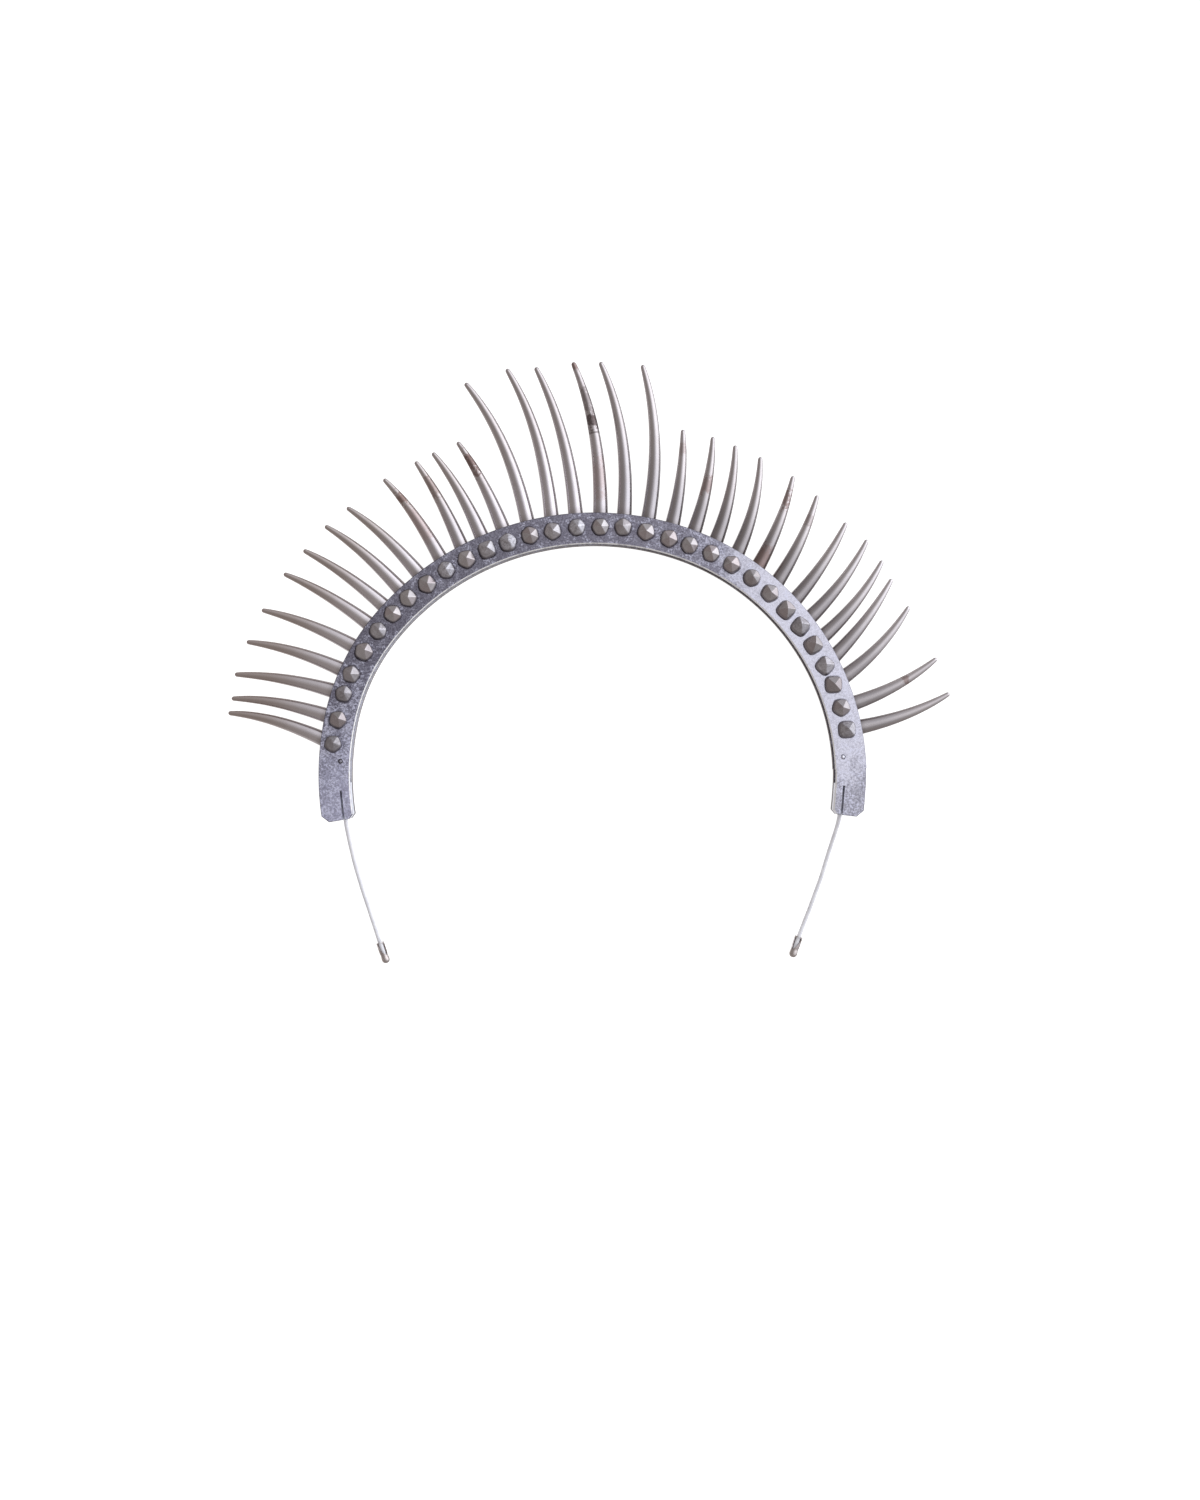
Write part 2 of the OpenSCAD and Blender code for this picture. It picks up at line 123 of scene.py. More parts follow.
class NodeBench:
    """Adds nodes to one tree and wires them together."""

    def __init__(self, tree: bpy.types.NodeTree) -> None:
        """Keeps the tree that nodes are added to."""
        self.tree = tree

    def feed(self, socket: bpy.types.NodeSocket, value: Feed) -> None:
        """Wires a socket to a value, or sets what it holds.

        Args:
            socket: The socket to feed.
            value: What it gets, a colour without its alpha among them.
        """
        if isinstance(value, Value):
            self.tree.links.new(value.socket, socket)
        elif socket.type == "RGBA" and len(value) == 3:
            socket.default_value = (*value, 1.0)
        else:
            socket.default_value = value

    def node(self, kind: str, inputs: Inputs | None = None, **settings: object) -> bpy.types.Node:
        """Adds a node, sets its options and feeds its inputs.

        Args:
            kind: The node's type name.
            inputs: What each input gets, by its name or number.
            **settings: Options of the node itself.

        Returns:
            The new node.
        """
        node = self.tree.nodes.new(kind)
        for name, value in settings.items():
            setattr(node, name, value)
        for key, value in (inputs or {}).items():
            socket = node.inputs[key]
            if isinstance(key, str):
                socket = next(s for s in node.inputs if s.name == key and s.enabled)
            self.feed(socket, value)
        return node

    def add(self, kind: str, inputs: Inputs | None = None, **settings: object) -> Value:
        """Adds a node as node() does and returns its first live output."""
        node = self.node(kind, inputs, **settings)
        return Value(self, next(s for s in node.outputs if s.enabled))

    def outputs(self, node: bpy.types.Node) -> dict[str, Value]:
        """Returns a node's outputs by name."""
        return {socket.name: Value(self, socket) for socket in node.outputs}

    def maths(self, operation: str, *values: Feed, clamp: bool = False) -> Value:
        """Returns the result of a sum on numbers, such as ADD or MULTIPLY."""
        return self.add("ShaderNodeMath", dict(enumerate(values)), operation=operation, use_clamp=clamp)

    def vectors(self, operation: str, *values: Feed, scale: Feed | None = None) -> Value:
        """Returns the result of a sum on vectors, with a factor where the sum takes one."""
        inputs = dict(enumerate(values)) | ({} if scale is None else {"Scale": scale})
        return self.add("ShaderNodeVectorMath", inputs, operation=operation)

    def parts(self, vector: Feed) -> tuple[Value, Value, Value]:
        """Returns the three parts of a vector."""
        node = self.node("ShaderNodeSeparateXYZ", {0: vector})
        return tuple(Value(self, socket) for socket in node.outputs)

    def vector(self, x: Feed = 0.0, y: Feed = 0.0, z: Feed = 0.0) -> Value:
        """Returns a vector made of three numbers."""
        return self.add("ShaderNodeCombineXYZ", {0: x, 1: y, 2: z})

    def spread(
        self, value: Feed, low: Feed, high: Feed, to_low: Feed = 0.0, to_high: Feed = 1.0,
        straight: bool = False,
    ) -> Value:
        """Maps a range of a value onto another range and holds it at both ends.

        Args:
            value: The value to map.
            low: Where the range starts.
            high: Where the range ends.
            to_low: The result at and before the start.
            to_high: The result at and after the end.
            straight: Whether it runs in a straight line instead of easing in and out.

        Returns:
            The mapped value.
        """
        inputs = {"Value": value, "From Min": low, "From Max": high, "To Min": to_low, "To Max": to_high}
        easing = "LINEAR" if straight else "SMOOTHSTEP"
        return self.add("ShaderNodeMapRange", inputs, interpolation_type=easing)

    def blend(self, mask: Feed, under: Feed, over: Feed) -> Value:
        """Lays one colour over another where a mask says so."""
        return self.add("ShaderNodeMix", {0: mask, 6: under, 7: over}, data_type="RGBA")

    def ramp(self, value: Feed, stops: Sequence[tuple[float, Colour]]) -> Value:
        """Returns the colour of a ramp.

        Args:
            value: The place on the ramp, from 0 to 1.
            stops: The place and the colour of each stop.

        Returns:
            The colour at that place.
        """
        node = self.node("ShaderNodeValToRGB", {0: value})
        elements = node.color_ramp.elements
        for number, (place, colour) in enumerate(stops):
            stop = elements[number] if number < len(elements) else elements.new(place)
            stop.position = place
            stop.color = (*colour, 1.0)
        return Value(self, node.outputs[0])

    def noise(self, where: Feed, scale: Feed, detail: float = 3.0, rough: float = 0.55) -> Value:
        """Returns a soft noise from 0 to 1, its scale in waves a metre."""
        inputs = {"Vector": where, "Scale": scale, "Detail": detail, "Roughness": rough}
        return self.add("ShaderNodeTexNoise", inputs)

    def surface(self, name: str) -> Value:
        """Returns a number that a piece carries on its own surface."""
        return self.outputs(self.node("ShaderNodeAttribute", attribute_name=name))["Fac"]

    def named(self, name: str, kind: str = "FLOAT") -> Value:
        """Returns a named attribute inside a geometry tree."""
        return self.add("GeometryNodeInputNamedAttribute", {"Name": name}, data_type=kind)

    def store(self, geometry: Value, name: str, value: Feed) -> Value:
        """Returns the geometry with a number kept on it under a name."""
        inputs = {"Geometry": geometry, "Name": name, "Value": value}
        return self.add("GeometryNodeStoreNamedAttribute", inputs)

    def around(self, reach: Value, angle: Value, height: Feed) -> Value:
        """Returns the point at a distance and an angle from the middle, at a height."""
        return self.vector(reach * self.maths("COSINE", angle), reach * self.maths("SINE", angle), height)

    def lumps(self, where: Feed, seed: Feed, scale: float, detail: float) -> Value:
        """Returns a seeded noise from -0.5 to 0.5, its scale in waves a metre."""
        inputs = {"Vector": where, "W": seed, "Scale": scale, "Detail": detail}
        return self.add("ShaderNodeTexNoise", inputs, noise_dimensions="4D") - 0.5

    def push_out(self, geometry: Value, lift: Value) -> Value:
        """Returns the geometry with its surface moved out along its normals."""
        offset = self.vectors("SCALE", self.add("GeometryNodeInputNormal"), scale=lift)
        return self.add("GeometryNodeSetPosition", {"Geometry": geometry, "Offset": offset})


def group_socket(tree: bpy.types.NodeTree, name: str, kind: str, way: str = "INPUT") -> str:
    """Adds a socket to a group's outside and returns its identifier."""
    return tree.interface.new_socket(name=name, in_out=way, socket_type=f"NodeSocket{kind}").identifier


class Effects:
    """The surface effects that several finishes share, each a shader group that is built once."""

    def __init__(self) -> None:
        """Starts with no group built."""
        self.built: dict[str, bpy.types.NodeTree] = {}

    def start(self, name: str, inputs: Iterable[str], outputs: Iterable[str]) -> tuple[NodeBench, dict, dict]:
        """Starts a group with a vector called Where and some numbers going in.

        Args:
            name: The group's name.
            inputs: Names of the numbers that go in.
            outputs: Names of the numbers that come out.

        Returns:
            The bench for its nodes, its inputs by name, and its outputs by name.
        """
        tree = bpy.data.node_groups.new(name, "ShaderNodeTree")
        group_socket(tree, "Where", "Vector")
        for label in inputs:
            group_socket(tree, label, "Float")
        for label in outputs:
            group_socket(tree, label, "Float", "OUTPUT")
        bench = NodeBench(tree)
        into = bench.outputs(bench.node("NodeGroupInput"))
        leave = {socket.name: socket for socket in bench.node("NodeGroupOutput").inputs}
        self.built[name] = tree
        return bench, into, leave

    def mottle(self) -> bpy.types.NodeTree:
        """Makes cloudy patches, specks and fine grain at three scales.

        Returns:
            The group.
        """
        if "mottle" not in self.built:
            outputs = ["Patches", "Specks", "Fine", "Height"]
            bench, into, leave = self.start("mottle", ["Patch", "Speck", "Grain"], outputs)
            cloud = bench.noise(into["Where"], into["Patch"], 5.0, 0.66)
            specks = bench.noise(into["Where"], into["Speck"], 4.0, 0.8)
            grain = bench.noise(into["Where"], into["Grain"], 3.0, 0.7)
            bench.feed(leave["Patches"], bench.spread(cloud, 0.36, 0.64))
            bench.feed(leave["Specks"], bench.spread(specks, 0.40, 0.60))
            bench.feed(leave["Fine"], bench.spread(grain, 0.34, 0.66))
            bench.feed(leave["Height"], cloud * 0.5 + specks * 0.3 + grain * 0.2)
        return self.built["mottle"]

    def scratches(self) -> bpy.types.NodeTree:
        """Makes fine broken hairlines that run in two directions.

        Returns:
            The group.
        """
        if "scratches" not in self.built:
            bench, into, leave = self.start("scratches", ["Scale", "Turn", "Amount"], ["Lines"])
            masks = []
            for extra in (0.0, 1.35):
                turned = bench.add(
                    "ShaderNodeVectorRotate", {"Vector": into["Where"], "Angle": into["Turn"] + extra},
                    rotation_type="Z_AXIS",
                )
                drawn_out = bench.vectors("MULTIPLY", turned, (0.05, 1.0, 1.0))
                line = bench.noise(drawn_out, into["Scale"], 1.0, 0.5)
                masks.append(bench.spread(bench.maths("ABSOLUTE", line - 0.5), 0.0, 0.018, 1.0, 0.0))
            broken = bench.spread(bench.noise(into["Where"], into["Scale"] * 0.35, 1.0), 0.48, 0.62)
            bench.feed(leave["Lines"], bench.maths("MAXIMUM", *masks) * broken * into["Amount"])
        return self.built["scratches"]

    def stain(self) -> bpy.types.NodeTree:
        """Makes a ragged patch at one stretch of a long piece.

        Returns:
            The group.
        """
        if "stain" not in self.built:
            inputs = ["Along", "Centre", "Half Length", "Raggedness"]
            bench, into, leave = self.start("stain", inputs, ["Patch"])
            away = bench.maths("ABSOLUTE", (into["Along"] - into["Centre"]) / into["Half Length"])
            near = bench.maths("SUBTRACT", 1.0, away, clamp=True)
            cloud = bench.noise(into["Where"], 420.0, 5.0, 0.72)
            flecks = bench.noise(into["Where"], 1500.0, 3.0, 0.6)
            ragged = near + ((cloud - 0.5) * 2.2 + (flecks - 0.5) * 1.8) * into["Raggedness"]
            bench.feed(leave["Patch"], bench.spread(ragged, 0.32, 0.72) * bench.spread(near, 0.0, 0.2))
        return self.built["stain"]

    def place(
        self, bench: NodeBench, group: bpy.types.NodeTree, where: Value, **numbers: Feed,
    ) -> dict[str, Value]:
        """Places a group in a material.

        Args:
            bench: The material's bench.
            group: The group to place.
            where: The coordinates that it reads.
            **numbers: Its numbers, with an underscore for each space in a name.

        Returns:
            The group's outputs by name.
        """
        node = bench.node("ShaderNodeGroup", node_tree=group)
        bench.feed(node.inputs["Where"], where)
        for name, value in numbers.items():
            bench.feed(node.inputs[name.replace("_", " ")], value)
        return bench.outputs(node)


EFFECTS = Effects()


class Coat:
    """A material in the making: its shader, its bench and the object coordinates that patterns lie on."""

    def __init__(self, name: str) -> None:
        """Starts the material.

        Args:
            name: The material's name.
        """
        self.material = bpy.data.materials.new(name)
        self.material.use_nodes = True
        self.bench = NodeBench(self.material.node_tree)
        self.shader = self.material.node_tree.nodes["Principled BSDF"]
        self.where = self.bench.outputs(self.bench.node("ShaderNodeTexCoord"))["Object"]

    def place(self) -> Value:
        """Returns the place round the arch in degrees, from 0 at the right to 180 at the left."""
        x, y, _ = self.bench.parts(self.where)
        return QUARTER_TURN - self.bench.maths("ARCTAN2", x, y) * (HALF_TURN / math.pi)

    def mottle(self, patch: float, speck: float, grain: float) -> dict[str, Value]:
        """Places the mottle group and returns its outputs."""
        return EFFECTS.place(self.bench, EFFECTS.mottle(), self.where, Patch=patch, Speck=speck, Grain=grain)

    def scratches(self, scale: float, turn: float, amount: float) -> Value:
        """Places the scratches group and returns its lines."""
        group = EFFECTS.scratches()
        return EFFECTS.place(self.bench, group, self.where, Scale=scale, Turn=turn, Amount=amount)["Lines"]

    def finish(self, **inputs: Feed) -> bpy.types.Material:
        """Feeds the shader's inputs.

        Args:
            **inputs: What each input gets, with an underscore for each space in its name.

        Returns:
            The finished material.
        """
        for name, value in inputs.items():
            self.bench.feed(self.shader.inputs[name.replace("_", " ")], value)
        return self.material

    def relief(self, height: Value, strength: float, depth: float) -> Value:
        """Returns the normal of a fine relief whose depth is given in millimetres."""
        inputs = {"Height": height, "Strength": strength, "Distance": depth * MM}
        return self.bench.add("ShaderNodeBump", inputs)


@dataclass(frozen=True)
class Tone:
    """The sheet's tone at one place round the arch: its colour, which mixes patina with painted light and
    shade, its roughness, pale deposit and grain.
    """

    place: float
    colour: Colour
    rough: float
    deposit: float = 0.0
    grain: float = 1.0


@dataclass(frozen=True)
class PinGapShade:
    """A painted shade ring round a pin, where the gap of its hole lies in shade: the pin's place, the ring's
    radius, its half width and how dark it is.
    """

    at: tuple[float, float]
    radius: float
    half_width: float
    strength: float


# Front strip colours round the arch: partly patina and partly a painted reflection of the light, bright along
# the right leg and dark over the crown, with the right tab painted darker below its bend as painted shade.
FRONT_PATINA_AND_SHEEN = (
    Tone(-14, (0.62, 0.62, 0.69), 0.36, 0.30),
    Tone(0, (0.65, 0.65, 0.73), 0.35, 0.35),
    Tone(5, (0.86, 0.86, 0.97), 0.26, 0.10, 0.5),
    Tone(48, (0.89, 0.89, 1.0), 0.26, 0.10, 0.3),
    Tone(57, (0.78, 0.78, 0.89), 0.28, 0.25, 0.6),
    Tone(63, (0.31, 0.30, 0.37), 0.34, 0.36),
    Tone(70, (0.235, 0.22, 0.265), 0.38, 0.16),
    Tone(92, (0.19, 0.175, 0.22), 0.38, 0.08),
    Tone(112, (0.155, 0.145, 0.18), 0.38, 0.10),
    Tone(148, (0.12, 0.11, 0.145), 0.38, 0.02),
    Tone(157, (0.115, 0.105, 0.15), 0.40, 0.34),
    Tone(166, (0.25, 0.25, 0.33), 0.41, 0.62),
    Tone(174, (0.52, 0.53, 0.70), 0.42, 0.60),
    Tone(180, (0.62, 0.63, 0.83), 0.42, 0.45, 0.7),
    Tone(194, (0.66, 0.67, 0.88), 0.42, 0.40, 0.6),
)
# Back strip colours round the arch are painted light and shade: near black on the right, where its face lies
# in the front strip's shade, and pale on the left, where the light reaches in between the strips.
BACK_LIT_AND_SHADED_TONES = (
    Tone(-14, (0.10, 0.08, 0.075), 0.40, 0.0, 0.5),
    Tone(62, (0.13, 0.115, 0.11), 0.40, 0.0, 0.5),
    Tone(92, (0.55, 0.53, 0.53), 0.45, 0.20, 0.5),
    Tone(120, (0.80, 0.80, 0.82), 0.45, 0.30, 0.3),
    Tone(194, (0.90, 0.90, 0.93), 0.45, 0.30, 0.3),
)


@dataclass(frozen=True)
class SheetFinish:
    """Mottled sheet metal, dull and dark over most of the arch and bright along the right leg, partly patina
    and partly a painted reflection of the light.
    """

    name: str = "sheet_metal"
    tones: tuple[Tone, ...] = FRONT_PATINA_AND_SHEEN
    pale: Colour = (0.74, 0.75, 0.90)
    dark: Colour = (0.12, 0.11, 0.145)
    edge: Colour = (0.88, 0.87, 0.86)
    line: Colour = (0.10, 0.09, 0.10)
    metallic: float = 0.94
    scales: tuple[float, float, float] = (420.0, 1500.0, 2300.0)
    scratch: tuple[float, float, float] = (1000.0, 0.6, 0.45)
    wander: float = 32.0
    middle: float = 79.0
    skew: float = 0.6
    first: float = -20.0
    last: float = 200.0
    pin_gap_shades: tuple[PinGapShade, ...] = (
        PinGapShade((-75.5, 7.4), 0.62, 0.22, 0.6),
        PinGapShade((72.9, 8.4), 0.70, 0.18, 0.5),
    )

    def build(self) -> bpy.types.Material:
        """Builds the material.

        Returns:
            The material.
        """
        coat = Coat(self.name)
        bench, where = coat.bench, coat.where
        x, y, _ = bench.parts(where)
        place = coat.place() + (bench.noise(where, 380.0, 6.0, 0.75) - 0.5) * self.wander
        from_origin = bench.maths("SQRT", x * x + y * y) / MM
        place = place - (from_origin - self.middle) * self.skew
        along = bench.spread(place, self.first, self.last, straight=True)
        spots = [(tone.place - self.first) / (self.last - self.first) for tone in self.tones]
        colour = bench.ramp(along, list(zip(spots, [tone.colour for tone in self.tones])))
        rates = [(tone.rough, tone.deposit, tone.grain) for tone in self.tones]
        rough, deposit, grain = bench.parts(bench.ramp(along, list(zip(spots, rates))))

        mottle = coat.mottle(*self.scales)
        colour = bench.blend(mottle["Patches"] * (grain * 0.16 + 0.10), colour, self.dark)
        cover = 1.0 - mottle["Specks"] * 0.5 - mottle["Patches"] * 0.5
        crust = bench.spread(cover + deposit * 0.55, 0.68, 1.02) * 0.72
        colour = bench.blend(crust, colour, self.pale)
        colour = bench.blend(mottle["Specks"] * (grain * 0.70 + 0.04), colour, self.dark)
        colour = bench.blend(mottle["Fine"] * (grain * 0.20 + 0.04), colour, self.pale)
        lines = coat.scratches(*self.scratch)
        colour = bench.blend(lines * 0.6, colour, self.pale)
        # Painted shade: a dark ring in the gap round each pin.
        for gap_shade in self.pin_gap_shades:
            x_off, y_off = x - gap_shade.at[0] * MM, y - gap_shade.at[1] * MM
            away = bench.maths("SQRT", x_off * x_off + y_off * y_off)
            near = bench.maths("ABSOLUTE", away - gap_shade.radius * MM)
            ring = bench.spread(near, 0.0, gap_shade.half_width * MM, gap_shade.strength, 0.0)
            colour = bench.blend(ring, colour, self.dark)
        # Painted highlight, in part: the inner edges take the edge colour, on the front strip a pale one that
        # is partly a bright filed edge and partly a highlight on the bevel. Faces marked below 0 are painted
        # dark, the back strip's walls as painted shade.
        edge = bench.surface("edge")
        worn = edge * bench.spread(bench.noise(where, 700.0, 3.0), 0.3, 0.5, 0.55, 1.0)
        colour = bench.blend(worn, colour, self.edge)
        colour = bench.blend(bench.maths("MULTIPLY", edge, -1.0, clamp=True), colour, self.line)
        rough = rough + (mottle["Fine"] - 0.5) * 0.08 + crust * 0.15
        return coat.finish(
            Base_Color=colour,
            Roughness=rough + bench.maths("MAXIMUM", edge, 0.0) * 0.22,
            Metallic=bench.spread(crust * 0.8 + edge * 0.5, 0.0, 1.0, self.metallic, self.metallic * 0.6),
            Normal=coat.relief(mottle["Height"] - lines * 0.3, 0.45, 0.04),
        )


@dataclass(frozen=True)
class Stain:
    """A brown patch on a spike, placed along the spike from 0 at the band to 1 at the tip."""

    at: float
    half: float
    strength: float = 0.8
    colour: Colour = (0.13, 0.06, 0.045)
    ragged: float = 0.5


@dataclass(frozen=True)
class CastTone:
    """The spikes' tone at one place round the arch, at their roots and at their tips, partly tarnish and
    partly painted shade and reflection.
    """

    place: float
    root: Colour
    tip: Colour


# Root and tip colours round the arch: partly tarnish, and partly painted shade and reflection, the roots
# darker where the strip's reflection darkens them.
CAST_TARNISH_AND_SHADE = (
    CastTone(14, (0.41, 0.385, 0.39), (0.52, 0.485, 0.485)),
    CastTone(34, (0.40, 0.375, 0.385), (0.62, 0.585, 0.59)),
    CastTone(48, (0.30, 0.28, 0.285), (0.55, 0.515, 0.515)),
    CastTone(64, (0.29, 0.27, 0.275), (0.48, 0.445, 0.445)),
    CastTone(80, (0.38, 0.36, 0.375), (0.51, 0.475, 0.475)),
    CastTone(98, (0.58, 0.545, 0.56), (0.49, 0.45, 0.45)),
    CastTone(119, (0.48, 0.45, 0.465), (0.50, 0.455, 0.44)),
    CastTone(140, (0.62, 0.58, 0.59), (0.485, 0.425, 0.40)),
    CastTone(163, (0.59, 0.55, 0.56), (0.475, 0.41, 0.385)),
)


@dataclass(frozen=True)
class CastFinish:
    """Satin white metal of the spikes, toned from root to tip and round the arch partly as tarnish and partly
    as painted shade and reflection, with painted shadow at the roots and with its stains.
    """

    name: str = "cast_metal"
    tones: tuple[CastTone, ...] = CAST_TARNISH_AND_SHADE
    # Colour of the painted shadow that the front strip casts on the spikes' roots.
    seat: Colour = (0.12, 0.10, 0.10)
    deep: Colour = (0.34, 0.285, 0.275)
    metallic: float = 0.95
    scales: tuple[float, float, float] = (300.0, 900.0, 2600.0)
    scratch: tuple[float, float, float] = (1300.0, 0.2, 0.5)
    stains: tuple[Stain, ...] = ()

    def build(self) -> bpy.types.Material:
        """Builds the material.

        Returns:
            The material.
        """
        coat = Coat(self.name)
        bench, where = coat.bench, coat.where
        along = bench.surface("along")
        spot = coat.place() / HALF_TURN
        root = bench.ramp(spot, [(tone.place / HALF_TURN, tone.root) for tone in self.tones])
        tip = bench.ramp(spot, [(tone.place / HALF_TURN, tone.tip) for tone in self.tones])
        colour = bench.blend(bench.spread(along, 0.12, 0.72), root, tip)
        # Painted shadow: the roots darken towards the band's edge, where the front strip shades them.
        colour = bench.blend(bench.spread(along, 0.0, 0.06, 0.32, 0.0), colour, self.seat)
        mottle = coat.mottle(*self.scales)
        colour = bench.blend(mottle["Patches"] * 0.11, colour, self.deep)
        colour = bench.blend(mottle["Specks"] * 0.03, colour, self.deep)
        colour = bench.blend(coat.scratches(*self.scratch) * 0.2, colour, self.deep)
        marks: Feed = 0.0
        for stain in self.stains:
            patch = EFFECTS.place(
                bench, EFFECTS.stain(), where,
                Along=along, Centre=stain.at, Half_Length=stain.half, Raggedness=stain.ragged,
            )["Patch"] * stain.strength
            colour = bench.blend(patch, colour, stain.colour)
            marks = bench.maths("MAXIMUM", marks, patch)
        return coat.finish(
            Base_Color=colour,
            Roughness=0.16 + mottle["Patches"] * 0.05 + marks * 0.25,
            Metallic=self.metallic,
            Normal=coat.relief(mottle["Height"] - marks * 2.0, 0.02, 0.03),
        )


@dataclass(frozen=True)
class StudFinish:
    """Hand-cut metal of the studs, some of them greyer and rougher than others, with painted shade at their
    feet and round their rims.
    """

    name: str = "stud_metal"
    brown: Colour = (0.435, 0.378, 0.378)
    green: Colour = (0.49, 0.462, 0.462)
    grey: Colour = (0.54, 0.53, 0.57)
    pale: Colour = (0.84, 0.84, 0.90)
    deep: Colour = (0.13, 0.11, 0.11)
    metallic: float = 0.93
    scales: tuple[float, float, float] = (500.0, 1150.0, 1900.0)
    # The height in millimetres up to which the studs' feet are painted dark as shade, and how far above it
    # that fades out.
    foot: float = 7.15
    foot_shade_height: float = 0.55

    def build(self) -> bpy.types.Material:
        """Builds the material.

        Returns:
            The material.
        """
        coat = Coat(self.name)
        bench, where = coat.bench, coat.where
        greyness = bench.surface("grey")
        shade = bench.surface("facet_shade")
        mottle = coat.mottle(*self.scales)
        colour = bench.blend(bench.spread(shade, 0.2, 0.8), self.brown, self.green)
        colour = bench.blend(greyness, colour, self.grey)
        colour = bench.blend(mottle["Patches"] * (0.07 + greyness * 0.38), colour, self.deep)
        colour = bench.blend(mottle["Specks"] * (0.04 + greyness * 0.42), colour, self.deep)
        colour = bench.blend(mottle["Fine"] * (greyness * 0.40), colour, self.pale)
        dim = bench.surface("dim")
        colour = bench.blend(dim * 0.55, colour, self.deep)
        # Painted shade: the studs' feet and outer rims are darkened, standing in for the contact shadow round
        # each stud.
        foot_shade = bench.spread(bench.parts(where)[2], self.foot * MM, (self.foot + self.foot_shade_height) * MM, 0.92, 0.0)
        foot_shade = foot_shade * bench.spread(bench.noise(where, 520.0, 3.0), 0.42, 0.58, 0.6, 1.0)
        rim = bench.spread(bench.surface("out"), 0.90, 1.0, 0.0, 0.42)
        colour = bench.blend(bench.maths("MAXIMUM", foot_shade, rim), colour, self.deep)
        return coat.finish(
            Base_Color=colour,
            Roughness=0.17 + greyness * 0.20 + dim * 0.12 + mottle["Fine"] * 0.05,
            Metallic=self.metallic,
            Normal=coat.relief(mottle["Height"] * (0.25 + greyness * 3.0), 0.3, 0.06),
        )


@dataclass(frozen=True)
class PlainMetalFinish:
    """Plain sawn, filed or bent metal, perhaps painted darker up to a height as shade and with a painted
    shade ring at its rim.
    """

    name: str
    light: Colour
    deep: Colour
    rough: float
    metallic: float = 0.9
    seam: float = 0.0
    seam_fade: float = 0.8
    painted_shade_colour: Colour = (0.10, 0.09, 0.095)
    ring: float = 0.0
    scales: tuple[float, float, float] = (600.0, 1500.0, 3200.0)
    scratch: tuple[float, float, float] = (1500.0, 1.0, 0.5)

    def build(self) -> bpy.types.Material:
        """Builds the material.

        Returns:
            The material.
        """
        coat = Coat(self.name)
        mottle = coat.mottle(*self.scales)
        mask = mottle["Patches"] * 0.3 + mottle["Specks"] * 0.15 + coat.scratches(*self.scratch) * 0.3
        colour = coat.bench.blend(mask, self.light, self.deep)
        # Painted shade: darker towards the bottom, where the end block meets the back strip.
        if self.seam:
            height = coat.bench.parts(coat.where)[2]
            low = coat.bench.spread(height, (self.seam - self.seam_fade) * MM, self.seam * MM, 0.9, 0.0)
            colour = coat.bench.blend(low, colour, self.painted_shade_colour)
        # Painted shade: a dark ring at a pin's rim, where the gap of its hole lies in shade.
        if self.ring:
            rim = coat.bench.spread(coat.bench.surface("rim"), 0.5, 0.9, 0.0, self.ring)
            colour = coat.bench.blend(rim, colour, self.painted_shade_colour)
        return coat.finish(
            Base_Color=colour,
            Roughness=self.rough + mottle["Fine"] * 0.10,
            Metallic=self.metallic,
            Normal=coat.relief(mottle["Height"], 0.25, 0.03),
        )


@dataclass(frozen=True)
class CordFinish:
    """White elastic cord with a soft, slightly uneven surface and a faint painted glow."""

    name: str = "white_cord"
    light: Colour = (0.80, 0.80, 0.82)
    shade: Colour = (0.70, 0.70, 0.73)
    glow: float = 0.02
    scales: tuple[float, float, float] = (420.0, 1500.0, 5200.0)

    def build(self) -> bpy.types.Material:
        """Builds the material.

        Returns:
            The material.
        """
        coat = Coat(self.name)
        mottle = coat.mottle(*self.scales)
        colour = coat.bench.blend(mottle["Patches"] * 0.8, self.light, self.shade)
        # Painted glow: the cord gives off a little light in its own colour.
        return coat.finish(
            Base_Color=colour,
            Roughness=0.40 + mottle["Fine"] * 0.14,
            Emission_Color=colour,
            Emission_Strength=self.glow,
            Normal=coat.relief(mottle["Fine"], 0.2, 0.03),
        )


@dataclass(frozen=True)
class FloorFinish:
    """Matt white paper, lit from below so that no shadow stands on it."""

    name: str = "white_paper"
    light: Colour = (0.55, 0.55, 0.55)
    shade: Colour = (0.52, 0.52, 0.52)
    glow: float = 0.92

    def build(self) -> bpy.types.Material:
        """Builds the material.

        Returns:
            The material.
        """
        coat = Coat(self.name)
        return coat.finish(
            Base_Color=coat.bench.blend(coat.bench.noise(coat.where, 60.0), self.light, self.shade),
            Roughness=0.9,
            Specular_IOR_Level=0.1,
            Emission_Color=(1.0, 1.0, 1.0),
            Emission_Strength=self.glow,
        )


def link(name: str, data: bpy.types.ID) -> bpy.types.Object:
    """Makes an object at the origin and puts it in the scene.

    Args:
        name: The object's name.
        data: Its mesh, curve or camera.

    Returns:
        The object.
    """
    piece = bpy.data.objects.new(name, data)
    bpy.context.scene.collection.objects.link(piece)
    return piece


def make_mesh(name: str, form: bmesh.types.BMesh, finish: bpy.types.Material) -> bpy.types.Mesh:
    """Turns a form into a mesh and frees the form.

    Args:
        name: The mesh's name.
        form: The form.
        finish: The finish that it gets.

    Returns:
        The mesh.
    """
    mesh = bpy.data.meshes.new(name)
    form.to_mesh(mesh)
    form.free()
    mesh.materials.append(finish)
    return mesh


